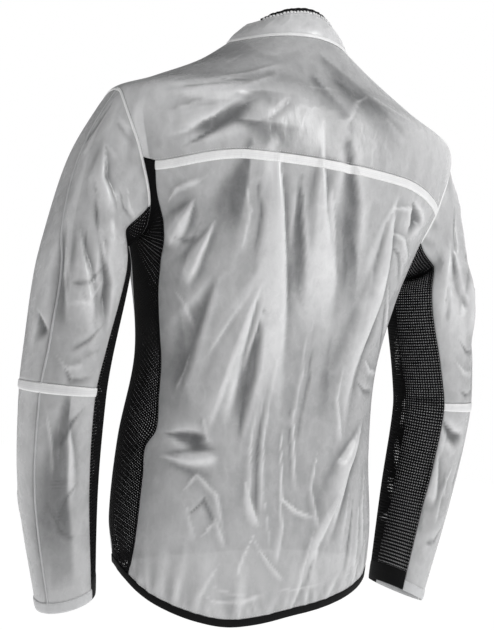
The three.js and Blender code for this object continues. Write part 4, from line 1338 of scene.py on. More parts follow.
class Tree:
    """The node tree of one material."""

    def __init__(self, name: str) -> None:
        """Makes an empty material."""
        self.material = bpy.data.materials.new(name)
        self.material.use_nodes = True
        self.nodes = self.material.node_tree.nodes
        self.nodes.clear()

    def node(self, kind: str, settings: dict | None = None, inputs: dict | None = None) -> Placed:
        """Adds a node.

        Args:
            kind: the node's type.
            settings: its properties, set first; "stops" holds a ramp's (place, grey) pairs.
            inputs: values or links by socket name or number.

        Returns:
            The node.
        """
        made = self.nodes.new(kind)
        for name, value in (settings or {}).items():
            if name == "stops":
                ramp = made.color_ramp
                while len(ramp.elements) < len(value):
                    ramp.elements.new(0.5)
                for element, (place, grey) in zip(ramp.elements, value):
                    element.position, element.color = place, (grey, grey, grey, 1)
            else:
                setattr(made, name, value)
        for name, value in (inputs or {}).items():
            socket = made.inputs[name]
            if isinstance(value, Value):
                self.material.node_tree.links.new(value.socket, socket)
            else:
                socket.default_value = value
        return Placed(self, made)

    def place(self, kind: str = "Object") -> Value:
        """Texture coordinates of that kind."""
        return self.node("ShaderNodeTexCoord").out(kind)

    def noise(self, where: Value, scale: float, detail: float = 2.0, rough: float = 0.5) -> Value:
        """Noise from 0 to 1 at that many cells a metre."""
        return self.node("ShaderNodeTexNoise", {}, {
            "Vector": where, "Scale": scale, "Detail": detail, "Roughness": rough}).out(0)

    def stretched(self, where: Value, scale: tuple[float, float, float]) -> Value:
        """Coordinates scaled along each axis."""
        return self.node("ShaderNodeMapping", {}, {"Vector": where, "Scale": scale}).out(0)

    def ramp(self, value: Value, stops: Sequence[tuple[float, float]]) -> Value:
        """Grey ramp over a value."""
        return self.node("ShaderNodeValToRGB", {"stops": stops}, {"Fac": value}).out(0)

    def bump(self, height: Value, deep: float) -> Value:
        """Normal of a relief that many metres deep."""
        return self.node("ShaderNodeBump", {}, {
            "Height": height, "Distance": deep, "Strength": 1.0}).out(0)

    def mixed(self, share: Value, first: Sequence[float], second: Sequence[float]) -> Value:
        """Mix of two colours by a share."""
        made = self.node("ShaderNodeMix", {"data_type": "RGBA"}, {0: share})
        made.node.inputs[6].default_value = (*first, 1)
        made.node.inputs[7].default_value = (*second, 1)
        return made.out(2)

    def finish(self, surface: Value) -> bpy.types.Material:
        """Links the surface to the output and gives the material."""
        self.node("ShaderNodeOutputMaterial", {}, {"Surface": surface})
        return self.material


@dataclass(frozen=True)
class ClearCloth:
    """Thin milky film: part see-through, part scattering, with painted light and shade: whiter and less
    see-through where its tone attribute is high, darker where it is low.
    """

    name: str
    light: tuple[float, float, float]
    dark: tuple[float, float, float]
    alpha: float
    rough: float
    crumple: float
    glow: float

    def build(self) -> bpy.types.Material:
        """The material."""
        tree = Tree(self.name)
        where = tree.place()
        broad = tree.noise(where, 9.0, 3.0)
        fine = tree.noise(where, 60.0, 4.0, 0.6)
        creases = abs(tree.noise(tree.stretched(where, (1.0, 1.0, 0.6)), 34.0, 3.0, 0.55) - 0.5) * 2.0
        creases = 1 - creases.math("MINIMUM", 0.3) * 3.333
        weave = tree.noise(where, 1500.0, 1.0)
        # Painted light and shade: the tone attribute lightens the colour and makes the film more opaque
        # where high, darkens it where low.
        tone = tree.node("ShaderNodeAttribute", {"attribute_name": "tone"}).out("Fac")
        colour = tree.mixed(tone * 0.50 + (creases * 0.11 + broad * 0.14 + 0.36), self.dark, self.light)
        relief = tree.bump(creases * 0.5 + fine * 0.6 + weave * 0.05, self.crumple)
        principled = tree.node("ShaderNodeBsdfPrincipled", {}, {
            "Base Color": colour, "Roughness": fine * 0.16 + (self.rough - 0.08), "Normal": relief,
            "Alpha": tone * 0.10 + (creases * 0.05 + broad * 0.08 + (self.alpha - 0.06)), "IOR": 1.45,
            "Sheen Weight": 0.1, "Sheen Roughness": 0.4})
        through = tree.node("ShaderNodeBsdfTranslucent", {}, {
            "Color": (0.92, 0.93, 0.95, 1)})
        return tree.finish(tree.node("ShaderNodeMixShader", {}, {
            0: self.glow, 1: principled.out(), 2: through.out()}).out())


@dataclass(frozen=True)
class Woven:
    """Opaque woven or knitted yarn: two tones, ribs along the piece and a matt fibre relief."""

    name: str
    light: tuple[float, float, float]
    dark: tuple[float, float, float]
    rough: float
    rib_pitch: float
    relief: float
    sheen: float = 0.2
    gloss: float = 0.4

    def build(self) -> bpy.types.Material:
        """The material. The ribs follow the piece's UVs, in metres."""
        tree = Tree(self.name)
        uv, where = tree.place("UV"), tree.place()
        apart = tree.node("ShaderNodeSeparateXYZ", {}, {0: uv})
        turns = 2 * math.pi / self.rib_pitch
        ribs = (apart.out(0) * turns).math("SINE") * 0.5 + 0.5
        rows = (apart.out(1) * (turns * 0.7)).math("SINE") * 0.5 + 0.5
        fibre = tree.noise(where, 900.0, 2.0)
        cloud = tree.noise(where, 25.0, 3.0)
        weave = ribs * 0.6 + rows * 0.25 + fibre * 0.4
        return tree.finish(tree.node("ShaderNodeBsdfPrincipled", {}, {
            "Base Color": tree.mixed(weave * 0.6 + cloud * 0.3, self.dark, self.light),
            "Roughness": fibre * 0.15 + (self.rough - 0.07), "Normal": tree.bump(weave, self.relief),
            "Sheen Weight": self.sheen, "Sheen Roughness": 0.5, "Specular IOR Level": self.gloss}).out())


@dataclass(frozen=True)
class FoldedTape:
    """Pale tape folded over a seam: bright at its two edges and sewn lines, milky and ribbed between,
    with a faint painted glow that makes it brighter than its light gives.
    """

    name: str
    wide: float
    light: tuple[float, float, float]
    dark: tuple[float, float, float]

    def build(self) -> bpy.types.Material:
        """The material. Across is the V of the piece's UVs in metres, along is the U."""
        tree = Tree(self.name)
        uv, where = tree.place("UV"), tree.place()
        apart = tree.node("ShaderNodeSeparateXYZ", {}, {0: uv})
        out = abs(apart.out(1) * (2 / self.wide) - 1.0)
        edge = tree.ramp(out, ((0.0, 0.35), (0.30, 0.20), (0.42, 0.55), (0.52, 0.22), (0.74, 0.85),
                               (1.0, 1.0)))
        cloud = tree.noise(where, 45.0, 3.0)
        pucker = tree.noise(tree.stretched(where, (1.0, 1.0, 0.35)), 260.0, 2.0)
        fibre = tree.noise(where, 900.0, 2.0)
        return tree.finish(tree.node("ShaderNodeBsdfPrincipled", {}, {
            "Base Color": tree.mixed(edge * 0.6 + (cloud * 0.5 - 0.05), self.dark, self.light),
            "Roughness": fibre * 0.15 + 0.38, "Normal": tree.bump(pucker + fibre * 0.2, 0.0007),
            "Alpha": edge * 0.12 + 0.86, "Sheen Weight": 0.15, "Sheen Roughness": 0.5,
            # Painted glow: the tape gives off a little white light of its own to look brighter.
            "Emission Color": (1, 1, 1, 1), "Emission Strength": 0.12}).out())


@dataclass(frozen=True)
class Yarn:
    """Round yarn of the net, the stitches and the strips: one tone with a fibre relief."""

    name: str
    light: tuple[float, float, float]
    dark: tuple[float, float, float]
    rough: float
    gloss: float

    def build(self) -> bpy.types.Material:
        """The material."""
        tree = Tree(self.name)
        where = tree.place()
        fibre = tree.noise(where, 1100.0, 2.0)
        cloud = tree.noise(where, 18.0, 3.0)
        return tree.finish(tree.node("ShaderNodeBsdfPrincipled", {}, {
            "Base Color": tree.mixed(fibre * 0.5 + cloud * 0.5, self.dark, self.light),
            "Roughness": fibre * 0.15 + (self.rough - 0.07), "Normal": tree.bump(fibre, 0.0002),
            "Specular IOR Level": self.gloss}).out())


@dataclass(frozen=True)
class Lacquer:
    """Lacquered metal or moulded plastic of the zip: dark, with worn patches and fine scratches."""

    name: str
    light: tuple[float, float, float]
    dark: tuple[float, float, float]
    metal: float
    rough: float

    def build(self) -> bpy.types.Material:
        """The material."""
        tree = Tree(self.name)
        where = tree.place()
        worn = tree.ramp(tree.noise(where, 350.0, 4.0, 0.65), ((0.5, 0.0), (0.68, 1.0)))
        scratch = tree.noise(tree.stretched(where, (3.0, 1.0, 0.15)), 900.0, 2.0)
        return tree.finish(tree.node("ShaderNodeBsdfPrincipled", {}, {
            "Base Color": tree.mixed(worn, self.dark, self.light), "Metallic": self.metal,
            "Roughness": scratch * 0.2 + (self.rough - 0.1),
            "Normal": tree.bump(scratch, 0.00005)}).out())


@dataclass
class Finishes:
    """All materials of the jacket, built once."""

    cloth: bpy.types.Material = field(init=False)
    hem_cloth: bpy.types.Material = field(init=False)
    yoke_tape: bpy.types.Material = field(init=False)
    elbow_tape: bpy.types.Material = field(init=False)
    welt: bpy.types.Material = field(init=False)
    allowance: bpy.types.Material = field(init=False)
    net: bpy.types.Material = field(init=False)
    elastic: bpy.types.Material = field(init=False)
    zip_tape: bpy.types.Material = field(init=False)
    teeth: bpy.types.Material = field(init=False)
    thread: bpy.types.Material = field(init=False)
    metal: bpy.types.Material = field(init=False)

    def __post_init__(self) -> None:
        """Builds each material."""
        # The films' dark and light colours are the ends of their painted shade and painted highlight,
        # which the tone attribute mixes with some random cloudiness.
        self.cloth = ClearCloth(
            "milky_cloth", light=(0.92, 0.92, 0.925), dark=(0.20, 0.202, 0.205), alpha=0.74, rough=0.27,
            crumple=0.0005, glow=0.12).build()
        self.hem_cloth = ClearCloth(
            "turned_hem_cloth", light=(0.95, 0.95, 0.955), dark=(0.62, 0.625, 0.63), alpha=0.72,
            rough=0.36, crumple=0.0006, glow=0.2).build()
        self.yoke_tape = FoldedTape(
            "yoke_tape_cloth", wide=0.0107, light=(0.97, 0.97, 0.97), dark=(0.60, 0.60, 0.605)).build()
        self.elbow_tape = FoldedTape(
            "elbow_tape_cloth", wide=0.0115, light=(0.95, 0.95, 0.95), dark=(0.52, 0.52, 0.53)).build()
        self.welt = FoldedTape(
            "seam_welt_cloth", wide=0.0044, light=(0.97, 0.97, 0.97), dark=(0.72, 0.72, 0.725)).build()
        self.allowance = Woven(
            "seam_allowance", light=(0.93, 0.93, 0.93), dark=(0.80, 0.80, 0.81), rough=0.6,
            rib_pitch=0.0016, relief=0.0001).build()
        self.net = Yarn(
            "net_yarn", light=(0.0065, 0.0065, 0.007), dark=(0.0025, 0.0025, 0.003), rough=0.8,
            gloss=0.12).build()
        self.elastic = Woven(
            "ribbed_elastic", light=(0.008, 0.008, 0.0085), dark=(0.003, 0.003, 0.0032), rough=0.8,
            rib_pitch=0.0022, relief=0.0003, sheen=0.04, gloss=0.15).build()
        self.zip_tape = Woven(
            "zip_tape_weave", light=(0.05, 0.05, 0.055), dark=(0.02, 0.02, 0.022), rough=0.8,
            rib_pitch=0.0010, relief=0.0001).build()
        self.teeth = Lacquer(
            "moulded_teeth", light=(0.09, 0.09, 0.095), dark=(0.03, 0.03, 0.032), metal=0.0,
            rough=0.38).build()
        self.thread = Yarn(
            "sewing_thread", light=(0.92, 0.92, 0.92), dark=(0.74, 0.74, 0.75), rough=0.55,
            gloss=0.4).build()
        self.metal = Lacquer(
            "lacquered_slider", light=(0.26, 0.26, 0.27), dark=(0.07, 0.07, 0.075), metal=0.7,
            rough=0.35).build()


# Sub-assemblies.

@dataclass(frozen=True)
class Cut:
    """Flat size that a panel is cut to, in metres, and its flat area where it isn't a rectangle."""

    width: float
    length: float
    area: float


@dataclass
class Pattern:
    """All panels of the jacket as skins, laid out once, from which the pieces are cut."""

    finishes: Finishes
    back: Skin = field(init=False)
    yoke: Skin = field(init=False)
    collar: Skin = field(init=False)
    fronts: dict[Side, Skin] = field(default_factory=dict)
    nets: dict[Side, Skin] = field(default_factory=dict)
    sleeves: dict[Side, dict[str, Skin]] = field(default_factory=dict)

    def __post_init__(self) -> None:
        """Works out every skin."""
        self.back = self.worn(back_grid(*BACK_CELLS), BODY_MIDDLE, BACK_PAINTED_SHADING)
        self.yoke = self.worn(yoke_grid(*YOKE_CELLS), YOKE_MIDDLE, BACK_PAINTED_SHADING)
        # The fronts carry the back's painted light and shade, turned to the front and lowered.
        front_painted_shading = [Fold(tuple((-a, b - FRONT_DROP) for a, b in drift.line), drift.half, drift.high,
                             drift.crest, drift.fade)
                        for drift in BACK_PAINTED_SHADING]
        h, k = np.meshgrid(*(spread(count) for count in COLLAR_CELLS), indexing="ij")
        x = np.degrees(np.arcsin(ZIP_EDGE / read(COLLAR, 1, h)))
        self.collar = Skin.of(collar(lerp(FRONT_FROM + x, FRONT_TO - x, k), h), COLLAR_MIDDLE,
                              np.full(h.shape, COLLAR_DRIFT))
        for side in Side:
            self.fronts[side] = self.worn(front_grid(side, *FRONT_CELLS), BODY_MIDDLE, front_painted_shading)
            self.nets[side] = Skin.of(body(*net_grid(side, *NET_CELLS)), BODY_MIDDLE)
            self.sleeves[side] = self.arm(side)

    @staticmethod
    def worn(places: tuple[Array, Array], centre: Array, painted_strokes: Sequence[Fold]) -> Skin:
        """Skin of a body panel over a grid of (deg, v), with its painted light and shade."""
        return Skin.of(body(*places), centre, drifted(painted_strokes, body_shape, *places))

    def arm(self, side: Side) -> dict[str, Skin]:
        """The panels of one sleeve."""
        surface = sleeve(side)
        upper, lower = np.linspace(0, ELBOW_ROW, 91), np.linspace(ELBOW_ROW, 1, 66)

        def cut(first: str, last: str, rows: Array, columns: int) -> Skin:
            """One panel between two long seams."""
            start, end, turns = ARM_SPANS[first, last]
            places = sleeve_grid(first, last, start, end, turns, rows, columns)
            # Painted light and shade of this sleeve panel.
            drift = drifted(SLEEVE_PAINTED_SHADING[side], lambda t, w: sleeve_shape(side, t, w), *places,
                            side.value * ARM_X)
            return Skin.of(surface(*places), arm_line(rows) * np.array([side.value, 1, 1]), drift)

        return {
            "upper_back": cut("long", "net_back", upper, 44),
            "upper_front": cut("net_front", "long", upper, 36),
            "lower_back": cut("long", "net_back", lower, 36),
            "lower_front": cut("net_front", "long", lower, 36),
            "net": cut("net_back", "net_front", np.linspace(0, CUFF_ROW, 150), 50),
            "cuff_elastic": cut("net_back", "net_front", np.linspace(CUFF_ROW, 1, 14), 70),
            "elbow_tape": cut("net_front", "net_back", np.linspace(ELBOW_ROW, ELBOW_TAPE_ROW, 7), 110),
            "cuff_hem": cut("net_front", "net_back", np.linspace(CUFF_HEM_ROW, 1, 7), 90),
        }


def pillow(skin: Skin, low: float, high: float, ripple: float, seed: int) -> Array:
    """Heights of a folded tape: low at both long edges, high between, with uneven ripples along it."""
    rows, columns = skin.points.shape[:2]
    across = 1 - np.abs(np.linspace(-1, 1, rows)) ** 4
    rng = np.random.default_rng(seed)
    k = np.linspace(0, 1, columns)[None, :]
    wave = sum(np.sin(2 * np.pi * (rng.uniform(6, 40) * k + rng.uniform(0, 1))) for _ in range(7)) / 7
    return low + (high - low) * across[:, None] + ripple * wave * across[:, None]


def sewn(name: str, mesh: Mesh, finish: bpy.types.Material, slot: str, *nodes: str) -> bpy.types.Object:
    """Makes a piece, has it stand for its CAD nodes and logs it."""
    piece = mesh.make(name, finish)
    if nodes:
        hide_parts(*nodes)
    LOG.info("%s: %d faces", name, len(mesh.quads))
    return piece


def panel(name: str, skin: Skin, finish: bpy.types.Material) -> bpy.types.Object:
    """Cloth panel that stands for the CAD node of that name."""
    return sewn(f"{name}_cloth", shell(skin.held(), 0, -CLOTH_THICK), finish, "cloth", name)


@dataclass
class Cloth:
    """The clear cloth panels of the body: back, yoke, fronts and collar, with their seams' folds."""

    pattern: Pattern
    allowance: float = 7.0
    deep: float = 0.9

    def under(self, name: str, skin: Skin, edge: Edge, wide: float | None = None) -> bpy.types.Object:
        """Seam allowance: a narrow strip of doubled cloth that lies inside one edge of a panel."""
        strip = skin.beside(edge, 0.4, wide or self.allowance, 3)
        mesh = shell(strip, -self.deep, -self.deep - 0.35)
        return sewn(name, mesh, self.pattern.finishes.allowance, "tape")

    def welt(self, name: str, skin: Skin, edge: Edge, wide: float = 3.0, pale: bool = False,
             ) -> bpy.types.Object:
        """Welt of a seam: doubled cloth that stands up in a narrow ridge beside one edge of a panel."""
        strip = skin.beside(edge, 0.25, wide, 6)
        mesh = shell(strip, pillow(strip, 0.12, 0.85, 0.15, len(name)), 0.03)
        finishes = self.pattern.finishes
        return sewn(name, mesh, finishes.welt if pale else finishes.hem_cloth, "tape")

    def build(self) -> None:
        p, finish = self.pattern, self.pattern.finishes
        back = panel("back_panel", p.back, finish.cloth)
        yoke = panel("back_yoke", p.yoke, finish.cloth)
        strip = p.back.beside(Edge.TOP, 0.3, 11.0, 8)
        tape = sewn("yoke_tape_folded", shell(strip, pillow(strip, 0.55, 1.5, 0.25, 3), TAPE_LIFT),
                    finish.yoke_tape, "tape", "yoke_tape")
        fold_in = self.under("yoke_seam_allowance", p.yoke, Edge.BOTTOM, 8.0)
        neck = panel("collar", p.collar, finish.cloth)
        neck_in = self.under("collar_seam_allowance", p.collar, Edge.BOTTOM, 6.0)
        neck_welt = self.welt("collar_seam_welt", p.collar, Edge.BOTTOM, 4.2, True)
        for side, skin in p.fronts.items():
            front = panel(f"front_{side.word}", skin, finish.cloth)
            edge = self.under(f"front_{side.word}_zip_allowance", skin, Edge.START, 9.0)


@dataclass
class Nets:
    """The knitted side nets, with the pale allowances of the cloth that show through their edges."""

    pattern: Pattern
    pitch: float = 3.58
    squeeze: float = 0.92
    side_hole: float = 0.29
    sleeve_hole: float = 0.33
    thick: float = 0.6
    strip: float = 6.0

    def knit(self, skin: Skin, hole: float) -> Mesh:
        """Net over a skin, with cells of about the pitch and holes of that share of a cell."""
        rows = round(skin.height() / self.pitch)
        columns = round(skin.width() / self.pitch * self.squeeze)
        return net(skin.held(), rows, columns, hole, self.thick)

    def edges(self, name: str, skin: Skin) -> list[bpy.types.Object]:
        """Pale strips behind both long edges of a net."""
        made = []
        for word, edge in (("front", Edge.START), ("back", Edge.END)):
            mesh = shell(skin.beside(edge, 0.3, self.strip, 3), -self.thick - 0.35, -self.thick - 0.75)
            made.append(sewn(f"{name}_{word}_allowance", mesh, self.pattern.finishes.allowance, "tape"))
        return made

    def build(self) -> None:
        """Builds both side nets and their edge strips."""
        for side, skin in self.pattern.nets.items():
            name = f"side_net_{side.word}"
            piece = sewn(f"{name}_knit", self.knit(skin, self.side_hole), self.pattern.finishes.net,
                         "net", name)
            self.edges(name, skin)


@dataclass
class Sleeves:
    """Both sleeves: four cloth panels, the net, the elbow tape, the cuff's turned hem and elastic."""

    pattern: Pattern
    nets: Nets
    cloth: Cloth

    def build(self) -> None:
        for side, skins in self.pattern.sleeves.items():
            self.one(f"sleeve_{side.word}", skins)

    def one(self, name: str, skins: dict[str, Skin]) -> None:
        """Builds one sleeve.

        Args:
            name: start of its nodes' names.
            skins: its panels.
        """
        finish = self.pattern.finishes
        elbow, hem, cuff = skins["elbow_tape"], skins["cuff_hem"], skins["cuff_elastic"]
        tape = sewn(f"{name}_elbow_tape_folded",
                    shell(elbow, pillow(elbow, 0.55, 1.4, 0.2, 5), TAPE_LIFT),
                    finish.elbow_tape, "tape", f"{name}_elbow_tape")
        turned = sewn(f"{name}_cuff_hem_turned", shell(hem, pillow(hem, 0.5, 1.2, 0.3, 6), TAPE_LIFT),
                      finish.hem_cloth, "tape", f"{name}_cuff_hem")
        for part in ("upper_back", "upper_front", "lower_back", "lower_front"):
            node, skin = f"{name}_{part}", skins[part]
            piece = panel(node, skin, finish.cloth)
            added = []
            if part.startswith("upper"):
                added.append(self.cloth.under(f"{node}_armhole_allowance", skin, Edge.BOTTOM))
                added.append(self.cloth.welt(f"{node}_armhole_welt", skin, Edge.BOTTOM,
                                             4.4 if part == "upper_back" else 3.0, True))
            if part.endswith("front"):
                added.append(self.cloth.under(f"{node}_seam_allowance", skin, Edge.END, 5.0))
            if part.endswith("back"):
                added.append(self.cloth.welt(f"{node}_seam_welt", skin, Edge.START))
            if part == "lower_back":
                added += [tape, turned]
        knit = sewn(f"{name}_net_knit", self.nets.knit(skins["net"], self.nets.sleeve_hole), finish.net,
                    "net", f"{name}_net")
        ribbed = sewn(f"{name}_cuff_elastic_ribbed",
                      shell(cuff.held(), pillow(cuff, 0.1, 0.5, 0.1, 7), -1.2),
                      finish.elastic, "elastic", f"{name}_cuff_elastic")
        self.nets.edges(f"{name}_net", skins["net"])


@dataclass
class Elastics:
    """The black binding elastics: all round the hem from zip edge to zip edge, and behind the collar."""

    pattern: Pattern
    lap: float = 1.4
    outside: float = 1.0
    inside: float = 1.9
    neck_tall: float = 6.0
    neck_from: float = 24.0

    def build(self) -> None:
        """Builds both elastics."""
        edge = math.degrees(math.asin(ZIP_EDGE / BODY[0, 1]))
        deg = np.linspace(FRONT_FROM + edge, FRONT_TO - edge, 900)
        rail, above = (self.drawn(body(deg, np.full(deg.shape, v)), 12) for v in (0.0, 0.012))
        self.bind("hem_elastic_binding", rail, rail - above, HEM_TALL, "hem_elastic", 0)
        deg = np.linspace(self.neck_from, 180 - self.neck_from, 260)
        rail, above = (self.drawn(collar(deg, np.full(deg.shape, h)), 3) for h in (1.0, 0.9))
        self.bind("collar_elastic_binding", rail, rail - above, self.neck_tall, "collar_elastic", 14)

    @staticmethod
    def drawn(rail: Array, reach: int) -> Array:
        """A rail drawn straight by its elastic: the mean over that many points each way."""
        near = np.pad(rail, ((reach, reach), (0, 0)), mode="reflect", reflect_type="odd")
        total = np.cumsum(np.concatenate([np.zeros((1, 3)), near]), axis=0)
        return (total[2 * reach + 1:] - total[:-2 * reach - 1]) / (2 * reach + 1)

    def bind(self, name: str, rail: Array, away: Array, tall: float, node: str, taper: int) -> None:
        """Elastic folded over an edge: a rounded rectangle carried along it.

        Args:
            name: name of the piece.
            rail: points of the edge.
            away: direction from the cloth to beyond its edge, at each point.
            tall: how far the elastic reaches beyond the edge.
            node: the CAD node that it replaces.
            taper: points at each end over which it runs out, or 0.
        """
        along = unit(np.gradient(rail, axis=0))
        away = unit(away - (away * along).sum(-1, keepdims=True) * along)
        side = np.cross(along, away)
        out = rail - np.array([0.0, 0.0, 1.0]) * rail[:, 2:]
        side = side * np.where((side * out).sum(-1, keepdims=True) < 0, -1, 1)
        if taper:
            place = np.arange(len(rail))
            inward = np.minimum(place, len(rail) - 1 - place)
            away = away * lerp(0.4, 1, smooth(inward / (3 * taper)))[:, None]
        profile = rounded((-self.inside, self.outside), (-self.lap, tall), 0.8)
        sewn(name, band(rail, side, away, profile), self.pattern.finishes.elastic, "elastic", node)


@dataclass
class Zip:
    """The closed zip: two woven tapes behind the front edges, moulded teeth, slider and pull."""

    pattern: Pattern
    back: float = 1.5
    thick: float = 0.8
    pitch: float = 1.5
    teeth_back: float = 1.6
    tooth: tuple[float, float, float] = (1.0, 1.55, 0.75)

    def line(self, x: float, side: Side) -> Array:
        """Points at x millimetres from the zip's middle, from the hem to the top of the collar."""
        v, h = np.linspace(0, 1, 220), np.linspace(0, 1, 16)[1:]
        deg = centre_deg(x, v)
        neck = FRONT_FROM + np.degrees(np.arcsin(x / read(COLLAR, 1, h)))
        if side is Side.RIGHT:
            deg, neck = -180 - deg, -180 - neck
        return np.concatenate([body(deg, v), collar(neck, h)])

    def build(self) -> None:
        """Builds the tapes and teeth and dresses the slider and pull."""
        finish = self.pattern.finishes
        for side in Side:
            points = np.stack([self.line(x, side) for x in np.linspace(ZIP_TEETH, ZIP_HEM, 8)], 1)
            skin = Skin.of(points, BODY_MIDDLE)
            sewn(f"zip_tape_{side.word}_woven", shell(skin, -self.back, -self.back - self.thick),
                 finish.zip_tape, "zip_tape", f"zip_tape_{side.word}")
        middle = self.line(0.001, Side.LEFT)
        normal = Skin.of(np.stack([self.line(2.0, Side.RIGHT), middle, self.line(2.0, Side.LEFT)], 1),
                         BODY_MIDDLE).normals[:, 1]
        box = np.array([[x, y, z] for x in (-0.5, 0.5) for y in (-1.0, 1.0) for z in (-1.0, 1.0)])
        faces = np.array([[0, 1, 3, 2], [4, 6, 7, 5], [0, 4, 5, 1], [2, 3, 7, 6], [0, 2, 6, 4],
                          [1, 5, 7, 3]])
        teeth = beads(middle - normal * self.teeth_back, normal, self.pitch, box * np.array(self.tooth),
                      faces)
        sewn("zip_teeth", teeth, finish.teeth, "zip_tape")
        for name in ("zip_slider", "zip_pull"):
            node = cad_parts[name]
            for place in node.material_slots:
                place.material = finish.metal


@dataclass
class Stitching:
    """Rows of lockstitches: on the tapes, beside the seams, above the hem and round the collar."""

    pattern: Pattern
    length: float = 2.6
    thick: float = 0.42
    pitch: float = 3.3
    frill_pitch: float = 4.3
    frill_long: float = 4.6
    frill_tall: float = 3.6
    frill_thick: float = 1.5

    def row(self, name: str, skin: Skin, edge: Edge, distance: float, lift: float = 0.12,
            ) -> bpy.types.Object:
        """One row of stitches at a distance from a panel's edge."""
        strip = skin.beside(edge, distance, distance + 0.5, 1)
        shape, faces = stitch_shape(self.length, self.thick)
        line, normals = strip.points[0] + strip.normals[0] * lift, strip.normals[0]
        mesh = beads(line, normals, self.pitch, shape, faces)
        return sewn(name, mesh, self.pattern.finishes.thread, "tape")

    def frill(self) -> bpy.types.Object:
        """The gathered top edge of the collar, which stands in small scallops against its elastic.

        Each scallop is a flat pillow with eight corners: a ring on the cloth and a narrower one above.
        """
        strip = self.pattern.collar.beside(Edge.TOP, 0.5, 1.0, 1)
        columns = strip.points.shape[1]
        first, last = (round((deg - FRONT_FROM) / 360 * columns) for deg in FRILL_DEG)
        turn = np.arange(8) * math.pi / 4 + math.pi / 8
        ring = np.stack([self.frill_long / 2 * np.cos(turn), self.frill_tall / 2 * np.sin(turn)], -1)
        rings = [np.concatenate([ring * k, np.full((8, 1), high)], 1)
                 for k, high in ((1.0, 0.05), (0.72, self.frill_thick))]
        faces = [[a, (a + 1) % 8, 8 + (a + 1) % 8, 8 + a] for a in range(8)]
        for split in ((0, 1, 2, 3), (0, 3, 4, 7), (4, 5, 6, 7)):
            faces += [list(split)[::-1], [8 + a for a in split]]
        mesh = beads(strip.points[0, first:last], strip.normals[0, first:last], self.frill_pitch,
                     np.concatenate(rings), np.array(faces))
        return sewn("collar_frill", mesh, self.pattern.finishes.allowance, "tape")

    def build(self) -> None:
        """Sews every row."""
        p = self.pattern
        self.frill()
        self.row("yoke_tape_stitches_low", p.back, Edge.TOP, 9.6, 1.15)
        self.row("yoke_tape_stitches_high", p.back, Edge.TOP, 1.6, 1.15)
        self.row("hem_stitches_back", p.back, Edge.BOTTOM, 3.2)
        self.row("collar_stitches_top", p.collar, Edge.TOP, 5.0)
        self.row("collar_stitches_low", p.collar, Edge.BOTTOM, 2.2)
        self.row("yoke_stitches", p.yoke, Edge.BOTTOM, 2.0)
        for side in Side:
            word = side.word
            self.row(f"front_{word}_zip_stitches", p.fronts[side], Edge.START, 2.2)
            self.row(f"front_{word}_hem_stitches", p.fronts[side], Edge.BOTTOM, 3.2)
            arm = p.sleeves[side]
            self.row(f"sleeve_{word}_elbow_stitches_low", arm["elbow_tape"], Edge.TOP, 1.2, 1.1)
            self.row(f"sleeve_{word}_elbow_stitches_high", arm["elbow_tape"], Edge.BOTTOM, 1.2, 1.1)
            self.row(f"sleeve_{word}_cuff_stitches", arm["cuff_hem"], Edge.BOTTOM, 1.4, 0.9)
            self.row(f"sleeve_{word}_long_stitches", arm["upper_back"], Edge.START, 2.0)
            self.row(f"sleeve_{word}_long_stitches_low", arm["lower_back"], Edge.START, 2.0)
            self.row(f"sleeve_{word}_armhole_stitches", arm["upper_back"], Edge.BOTTOM, 1.8)


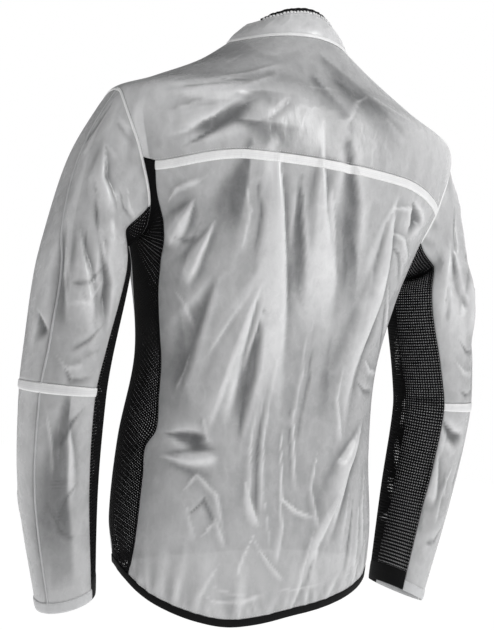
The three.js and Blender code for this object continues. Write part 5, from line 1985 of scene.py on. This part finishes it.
@dataclass
class Studio:
    """Pale floor, soft lights and the camera at the photograph's viewing angle."""

    azimuth: float = 148.6
    elevation: float = 0.7
    distance: float = 2.0
    lens: float = 1600 / 630 * 36
    roll: float = 4.7
    target: tuple[float, float, float] = (0.018, -0.014, -0.345)
    floor: float = -1.45
    room: float = 9.0

    def axes(self) -> tuple[Vector, Vector, Vector]:
        """Right, up and back directions of the camera before its roll."""
        a, e = math.radians(self.azimuth), math.radians(self.elevation)
        back = Vector((math.sin(a) * math.cos(e), -math.cos(a) * math.cos(e), math.sin(e)))
        right = Vector((math.cos(a), math.sin(a), 0))
        return right, back.cross(right), back

    def build(self) -> None:
        """Builds the camera, lights, world and floor."""
        right, up, back = self.axes()
        r = math.radians(self.roll)
        side, top = right * math.cos(r) + up * math.sin(r), up * math.cos(r) - right * math.sin(r)
        place = Vector(self.target) + back * self.distance
        camera = bpy.data.objects.new("camera", bpy.data.cameras.new("camera"))
        camera.data.lens, camera.data.sensor_width, camera.data.sensor_fit = self.lens, 36, "AUTO"
        camera.data.clip_end = 50
        camera.matrix_world = Matrix.Translation(place) @ Matrix((side, top, back)).transposed().to_4x4()
        bpy.context.scene.collection.objects.link(camera)
        bpy.context.scene.camera = camera
        bpy.context.scene.view_settings.view_transform = "Standard"
        self.light("key", 1.9, 0.9, 0.9, 0.7, 27)
        self.light("fill", -1.9, 0.4, 1.0, 1.4, 5)
        self.light("top", 0.0, 2.2, 0.4, 1.0, 5)
        self.light("behind", 0.6, 0.8, -1.8, 1.8, 9)
        self.world()
        self.ground()
        self.backdrop()

    def light(self, name: str, right: float, up: float, back: float, size: float, power: float) -> None:
        """Soft square light at a place given along the camera's directions, turned to the jacket."""
        x, y, z = self.axes()
        data = bpy.data.lights.new(name, "AREA")
        data.energy, data.size, data.shape = power, size, "SQUARE"
        lamp = bpy.data.objects.new(name, data)
        place = Vector(self.target) + x * right + y * up + z * back
        turn = (place - Vector(self.target)).to_track_quat("Z", "Y").to_matrix().to_4x4()
        lamp.matrix_world = Matrix.Translation(place) @ turn
        bpy.context.scene.collection.objects.link(lamp)

    def world(self) -> None:
        """Plain white surroundings."""
        world = bpy.data.worlds.new("studio")
        world.use_nodes = True
        world.node_tree.nodes["Background"].inputs[0].default_value = (1, 1, 1, 1)
        world.node_tree.nodes["Background"].inputs[1].default_value = 0.11
        bpy.context.scene.world = world

    def ground(self) -> None:
        """Plain pale floor where the wearer would stand."""
        mesh = bpy.data.meshes.new("floor")
        h, z = self.room, self.floor
        mesh.from_pydata([(-h, -h, z), (h, -h, z), (h, h, z), (-h, h, z)], [], [(0, 1, 2, 3)])
        floor = bpy.data.objects.new("floor", mesh)
        tree = Tree("pale_floor")
        cloud = tree.noise(tree.place(), 0.8)
        mesh.materials.append(tree.finish(tree.node("ShaderNodeBsdfPrincipled", {}, {
            "Base Color": tree.mixed(cloud, (0.06, 0.06, 0.06), (0.08, 0.08, 0.08)), "Roughness": 0.9,
            "Emission Color": (1, 1, 1, 1), "Emission Strength": 1.0}).out()))
        bpy.context.scene.collection.objects.link(floor)

    def backdrop(self) -> None:
        """Plain white surroundings that are seen but cast no light: a round room about the jacket."""
        turn, rise = np.meshgrid(np.linspace(0, 2 * np.pi, 65), np.linspace(-np.pi / 2, np.pi / 2, 33))
        level_ = [np.cos(rise) * np.cos(turn), np.cos(rise) * np.sin(turn), np.sin(rise)]
        points = self.room * np.stack(level_, -1)
        index = grid_index(*turn.shape)
        mesh = bpy.data.meshes.new("backdrop")
        mesh.from_pydata(points.reshape(-1, 3).tolist(), [], grid_quads(index)[:, ::-1].tolist())
        room = bpy.data.objects.new("backdrop", mesh)
        tree = Tree("white_backdrop")
        mesh.materials.append(tree.finish(tree.node("ShaderNodeEmission", {}, {
            "Color": (1, 1, 1, 1), "Strength": 1.0}).out()))
        room.visible_diffuse = room.visible_glossy = room.visible_shadow = False
        bpy.context.scene.collection.objects.link(room)


def main() -> None:
    """Builds the jacket and the studio."""
    logging.basicConfig(level=logging.INFO, format="%(message)s")
    pattern = Pattern(Finishes())
    cloth, nets = Cloth(pattern), Nets(pattern)
    for part in (cloth, nets, Sleeves(pattern, nets, cloth), Elastics(pattern), Zip(pattern),
                 Stitching(pattern), Studio()):
        part.build()
        LOG.info("built %s", type(part).__name__)


if __name__ == "__main__":
    main()
